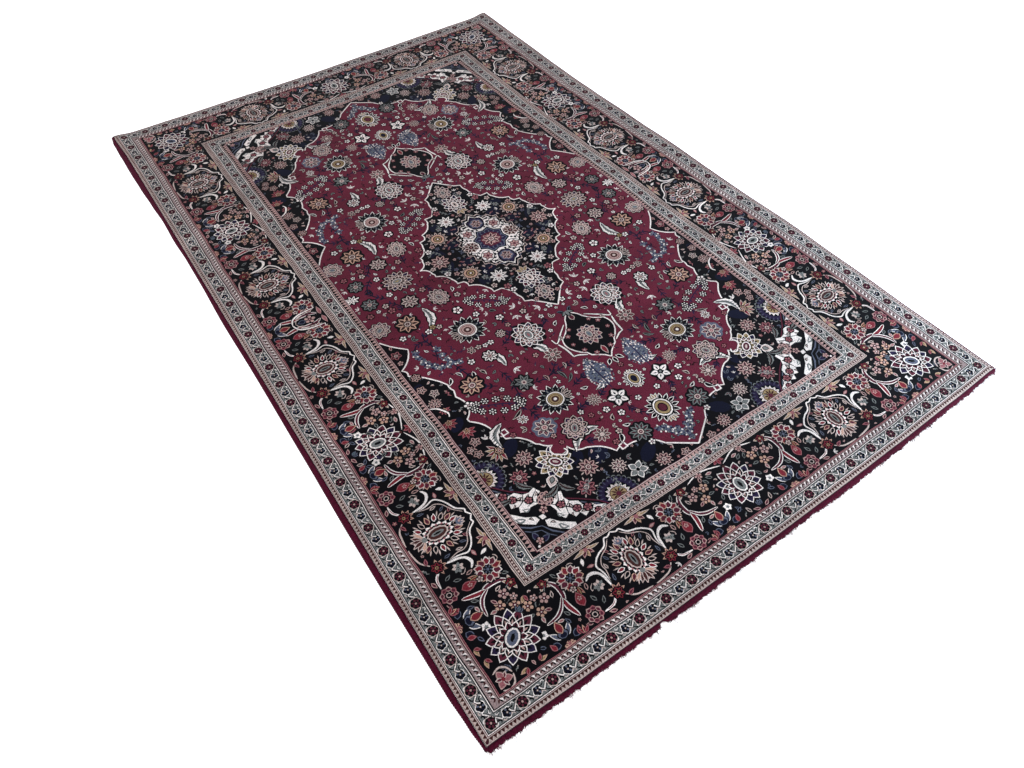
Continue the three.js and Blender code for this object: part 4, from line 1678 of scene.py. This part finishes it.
LEFT_CORD_WIDTH = [
    (-1042, 6), (-1000, 9), (-935, 12), (-561, 14), (-374, 12.5), (-94, 11), (94, 12.5),
    (281, 9), (374, 8.5), (468, 11), (561, 9.5), (655, 13), (748, 16), (842, 17), (935, 16),
    (1000, 13), (1043, 8),
]
NEAR_BAND_WIDTH = [
    (-700, 9), (-600, 9.5), (-430, 8.5), (-322, 8.8), (-315, 2.4), (-309, 2.2), (-302, 9), (-240, 10),
    (-60, 9), (60, 8.5), (121, 11), (300, 10), (420, 9.5), (540, 9), (700, 7),
]
HIDDEN_WIDTH = 8.0
RIGHT_CORD_WIDTH = FAR_BAND_WIDTH = [(0, HIDDEN_WIDTH)]
PIECE_GAP = 0.3
CORD_HEIGHT, CORD_FOOT = 5.4, 1.6
WRAP_PITCH = 4.6


def make_cord(name, side, edge, widths, material):
    """The overcast edge: wool wrapped over the outer warps, a little uneven."""
    y = np.arange(PILE_NEAR, PILE_FAR, 1.5)
    turn = 2 * math.pi * y / WRAP_PITCH + 1.5 * np.sin(y / 60) + 2.5 * np.sin(y / 233)
    wraps = 0.28 * np.sin(turn)
    px, py = place(np.full_like(y, edge), y)
    columns = []
    for t in np.linspace(0, 1, 9):
        across = 1 - t if side < 0 else t
        bulge = math.sqrt(max(0.0, 1 - (2 * across - 1) ** 2))
        height = CORD_FOOT + (CORD_HEIGHT - CORD_FOOT) * bulge
        height = height * (1 + 0.06 * np.sin(y / 37 + side)) + wraps * bulge
        reach = PIECE_GAP + (from_table(widths, y) + 1.6 * wraps) * across
        slant = 1.6 * (across - 0.5)
        columns.append(np.stack([px + side * reach, py + slant, height], -1))
    points, faces = slab_faces(np.array(columns), 0)
    piece = new_mesh(name, to_scene(points), faces, material)
    return piece


# The woven end bands and what is left of their fringe. Wisps are places where white warps show.
# Columns: place, reach, share.

NEAR_WISPS = [
    (-312, 5, 1.0), (-312, 14, 0.6), (-560, 18, 0.4), (-455, 20, 0.4), (-180, 26, 0.4), (-60, 18, 0.35),
    (90, 30, 0.5), (240, 24, 0.5), (390, 40, 0.45), (520, 30, 0.5), (630, 34, 0.6),
]
FAR_WISPS = [(-640, 40, 0.6), (-300, 60, 0.4), (120, 70, 0.4), (560, 60, 0.5)]
BAND_STEP = 1.4


def tube(points, faces, path, radius):
    """A thin three-sided fibre along a path, ending in a point."""
    first = len(points)
    for i, (x, y, z) in enumerate(path):
        r = radius * (1 - i / (len(path) - 1) * 0.75)
        for k in range(3):
            a = 2 * math.pi * k / 3 + 0.5
            points.append((x + r * math.cos(a), y + 0.3 * r * math.sin(a), max(z + r * math.sin(a), 0.02)))
    for i in range(len(path) - 1):
        for k in range(3):
            a, b = first + 3 * i + k, first + 3 * i + (k + 1) % 3
            faces.append((a, b, b + 3, a + 3))


def fibre(points, faces, start, end, length):
    """One loose fibre that falls from the band's front and lies on the floor."""
    x, y, z = start
    sway, radius, curl = random.uniform(-5, 5), random.uniform(0.28, 0.62), random.uniform(-1, 1)
    path = []
    for t in (0.0, 1 / 3, 2 / 3, 1.0):
        px = x + sway * t + curl * math.sin(3.1 * t)
        py = y + end * length * t * (1 - 0.15 * abs(curl) * t)
        path.append((px, py, max(z * (1 - t) ** 1.5, radius)))
    tube(points, faces, path, radius)


def loose_thread(points, faces):
    """A long thin warp thread that has come off the near end and lies on the floor."""
    path = [(-654 + 54 * t, -1057 - 5 * math.sin(2.6 * t) + 1.2 * math.sin(11 * t), 0.6)
            for t in np.linspace(0, 1, 24)]
    tube(points, faces, path, 0.55)


def band_columns(xs, px, py, end, reach):
    """Cross sections of the ribbed band, highest at the pile."""
    columns = []
    for t in np.linspace(0, 1, 8):
        across = t if end > 0 else 1 - t
        height = 3.8 - 1.9 * across + 0.9 * math.sin(math.pi * across) - 1.2 * across ** 4
        rib = 0.16 * np.sin(2 * math.pi * xs / 3.6 + 9 * across)
        columns.append(np.stack([px, py + end * (PIECE_GAP + reach * across), height + rib], -1))
    return np.array(columns).transpose(1, 0, 2)


def shows_warp(x, end, wisps):
    if any(abs(x - at) < reach and random.random() < share for at, reach, share in wisps):
        return True
    return random.random() < (0.08 if end < 0 else 0.3)


def tuft_at(x):
    """How far the worn wool stands out here."""
    waves = 0.5 * math.sin(x / 8.3) + 0.5 * math.sin(x / 21 + 1) + 0.3 * math.sin(x / 3.1)
    return 0.45 + 0.8 * max(0.0, waves)


def make_fringe(name, end, widths, left, right, count, wisps):
    """The narrow woven band with its worn ends."""
    edge = PILE_NEAR if end < 0 else PILE_FAR
    xs = np.arange(left, right + BAND_STEP, BAND_STEP)
    inside = np.clip(xs, PILE_LEFT, PILE_RIGHT)
    px, py = place(inside, np.full_like(xs, edge))
    px = px + xs - inside
    corner = ease(np.minimum(xs - left, right - xs) / 9.0)
    ragged = 0.5 * np.sin(xs / 3.1) + 0.6 * np.sin(xs / 7.7 + 2) + 0.5 * np.sin(xs / 1.9 + 1)
    reach = np.maximum((from_table(widths, xs) + ragged) * (0.35 + 0.65 * corner), 2)
    points, faces = slab_faces(band_columns(xs, px, py, end, reach), 1)
    points, yarns = points.tolist(), [NAMES.index("edge")] * len(faces)
    for _ in range(count):
        x = random.uniform(left + 2, right - 2)
        pale = shows_warp(x, end, wisps)
        tone = "warp" if pale else random.choice(("edge", "edge", "edge", "wine", "rose"))
        i = int(np.clip((x - left) / BAND_STEP, 0, len(xs) - 1))
        back = 0.9 if pale else random.uniform(0.2, 1.0)
        stretch = 2.0 if random.random() < 0.1 else tuft_at(x)
        start = (px[i], py[i] + end * (PIECE_GAP + reach[i] * back), 2.6 - 1.2 * back)
        length = (1 - back) * reach[i] + random.uniform(1.0, 11.0 if pale else 7.0) * stretch
        fibre(points, faces, start, end, length)
        yarns += [NAMES.index(tone)] * (len(faces) - len(yarns))
    if end < 0:
        loose_thread(points, faces)
        yarns += [NAMES.index("sage")] * (len(faces) - len(yarns))
    piece = new_mesh(name, to_scene(points), faces, EDGE, yarns)
    return piece


# The camera, the light and the floor

def add_to_scene(name, data):
    thing = bpy.data.objects.new(name, data)
    bpy.context.scene.collection.objects.link(thing)
    return thing


def build_frame_view():
    data = bpy.data.cameras.new("camera")
    data.lens = 25.65
    data.sensor_width = 36.0
    data.clip_start = 0.02
    camera = add_to_scene("camera", data)
    right = Vector((0.82409014, -0.56622475, -0.01627775))
    down = Vector((-0.45342166, -0.64214592, -0.61810793))
    ahead = Vector((0.33953532, 0.51675734, -0.78592469))
    turn = Matrix((right, -down, -ahead)).transposed()
    at = Vector((-0.78096 - CENTRE[0] * MM, -1.29545 - CENTRE[1] * MM, 1.27558 + PILE_TOP * MM))
    camera.matrix_world = Matrix.Translation(at) @ turn.to_4x4()
    bpy.context.scene.camera = camera


def soft_light(name, at, size, watts, colour, aim):
    data = bpy.data.lights.new(name, "AREA")
    data.size = size
    data.energy = watts
    data.color = colour
    lamp = add_to_scene(name, data)
    lamp.location = at
    lamp.rotation_euler = (Vector(aim) - Vector(at)).to_track_quat("-Z", "Y").to_euler()


def studio():
    world = bpy.data.worlds.new("studio")
    bpy.context.scene.world = world
    world.use_nodes = True
    put(world.node_tree.nodes["Background"], Color=(0.97, 1.0, 1.05, 1), Strength=0.57)
    soft_light("window", (1.45, -1.35, 0.7), 1.0, 36, (0.66, 0.85, 1.0), (0.5, -0.8, 0))
    soft_light("ceiling", (-0.6, 0.7, 2.9), 2.6, 24, (1.0, 0.97, 1.0), (0, 0, 0))
    mesh = bpy.data.meshes.new("floor")
    mesh.from_pydata([(-14, -14, 0), (14, -14, 0), (14, 14, 0), (-14, 14, 0)], [], [(0, 1, 2, 3)])
    floor = add_to_scene("floor", mesh)
    material, _, shader = new_material("floor_paint")
    put(shader, Base_Color=(0.9, 0.9, 0.9, 1), Roughness=1.0)
    put(shader, Emission_Color=(1, 1, 1, 1), Emission_Strength=0.75)
    mesh.materials.append(material)
    bpy.context.scene.view_settings.view_transform = "Standard"


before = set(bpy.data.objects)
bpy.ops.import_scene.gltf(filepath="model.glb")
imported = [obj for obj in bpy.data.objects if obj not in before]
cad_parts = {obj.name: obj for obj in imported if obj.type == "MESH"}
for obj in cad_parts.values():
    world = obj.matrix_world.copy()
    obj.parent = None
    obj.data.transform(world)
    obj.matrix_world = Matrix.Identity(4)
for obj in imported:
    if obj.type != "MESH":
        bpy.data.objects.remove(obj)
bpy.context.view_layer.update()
low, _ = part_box("rug_pile")
CENTRE = (-683.0 - low.x / MM, -1048.5 - low.y / MM)
build_frame_view()
studio()
PILE = yarn_material("pile_wool")
EDGE = yarn_material("edge_wool", 0.05, 0.4, 300)
zones = pattern()
base = make_base()
crimson = plain_wool("cord_crimson", (78, 13, 37), 0.35, 260)
cords = [
    make_cord("cord_left", -1, PILE_LEFT, LEFT_CORD_WIDTH, crimson),
    make_cord("cord_right", 1, PILE_RIGHT, RIGHT_CORD_WIDTH, crimson),
]
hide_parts("side_cord_left")
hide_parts("side_cord_right")
band_right = PILE_RIGHT + PIECE_GAP + HIDDEN_WIDTH
fringes = [
    make_fringe("fringe_near", -1, NEAR_BAND_WIDTH, PILE_LEFT - 6.3, band_right, 2400, NEAR_WISPS),
    make_fringe("fringe_far", 1, FAR_BAND_WIDTH, PILE_LEFT - 8.3, band_right, 700, FAR_WISPS),
]
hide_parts("end_fringe_near")
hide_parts("end_fringe_far")
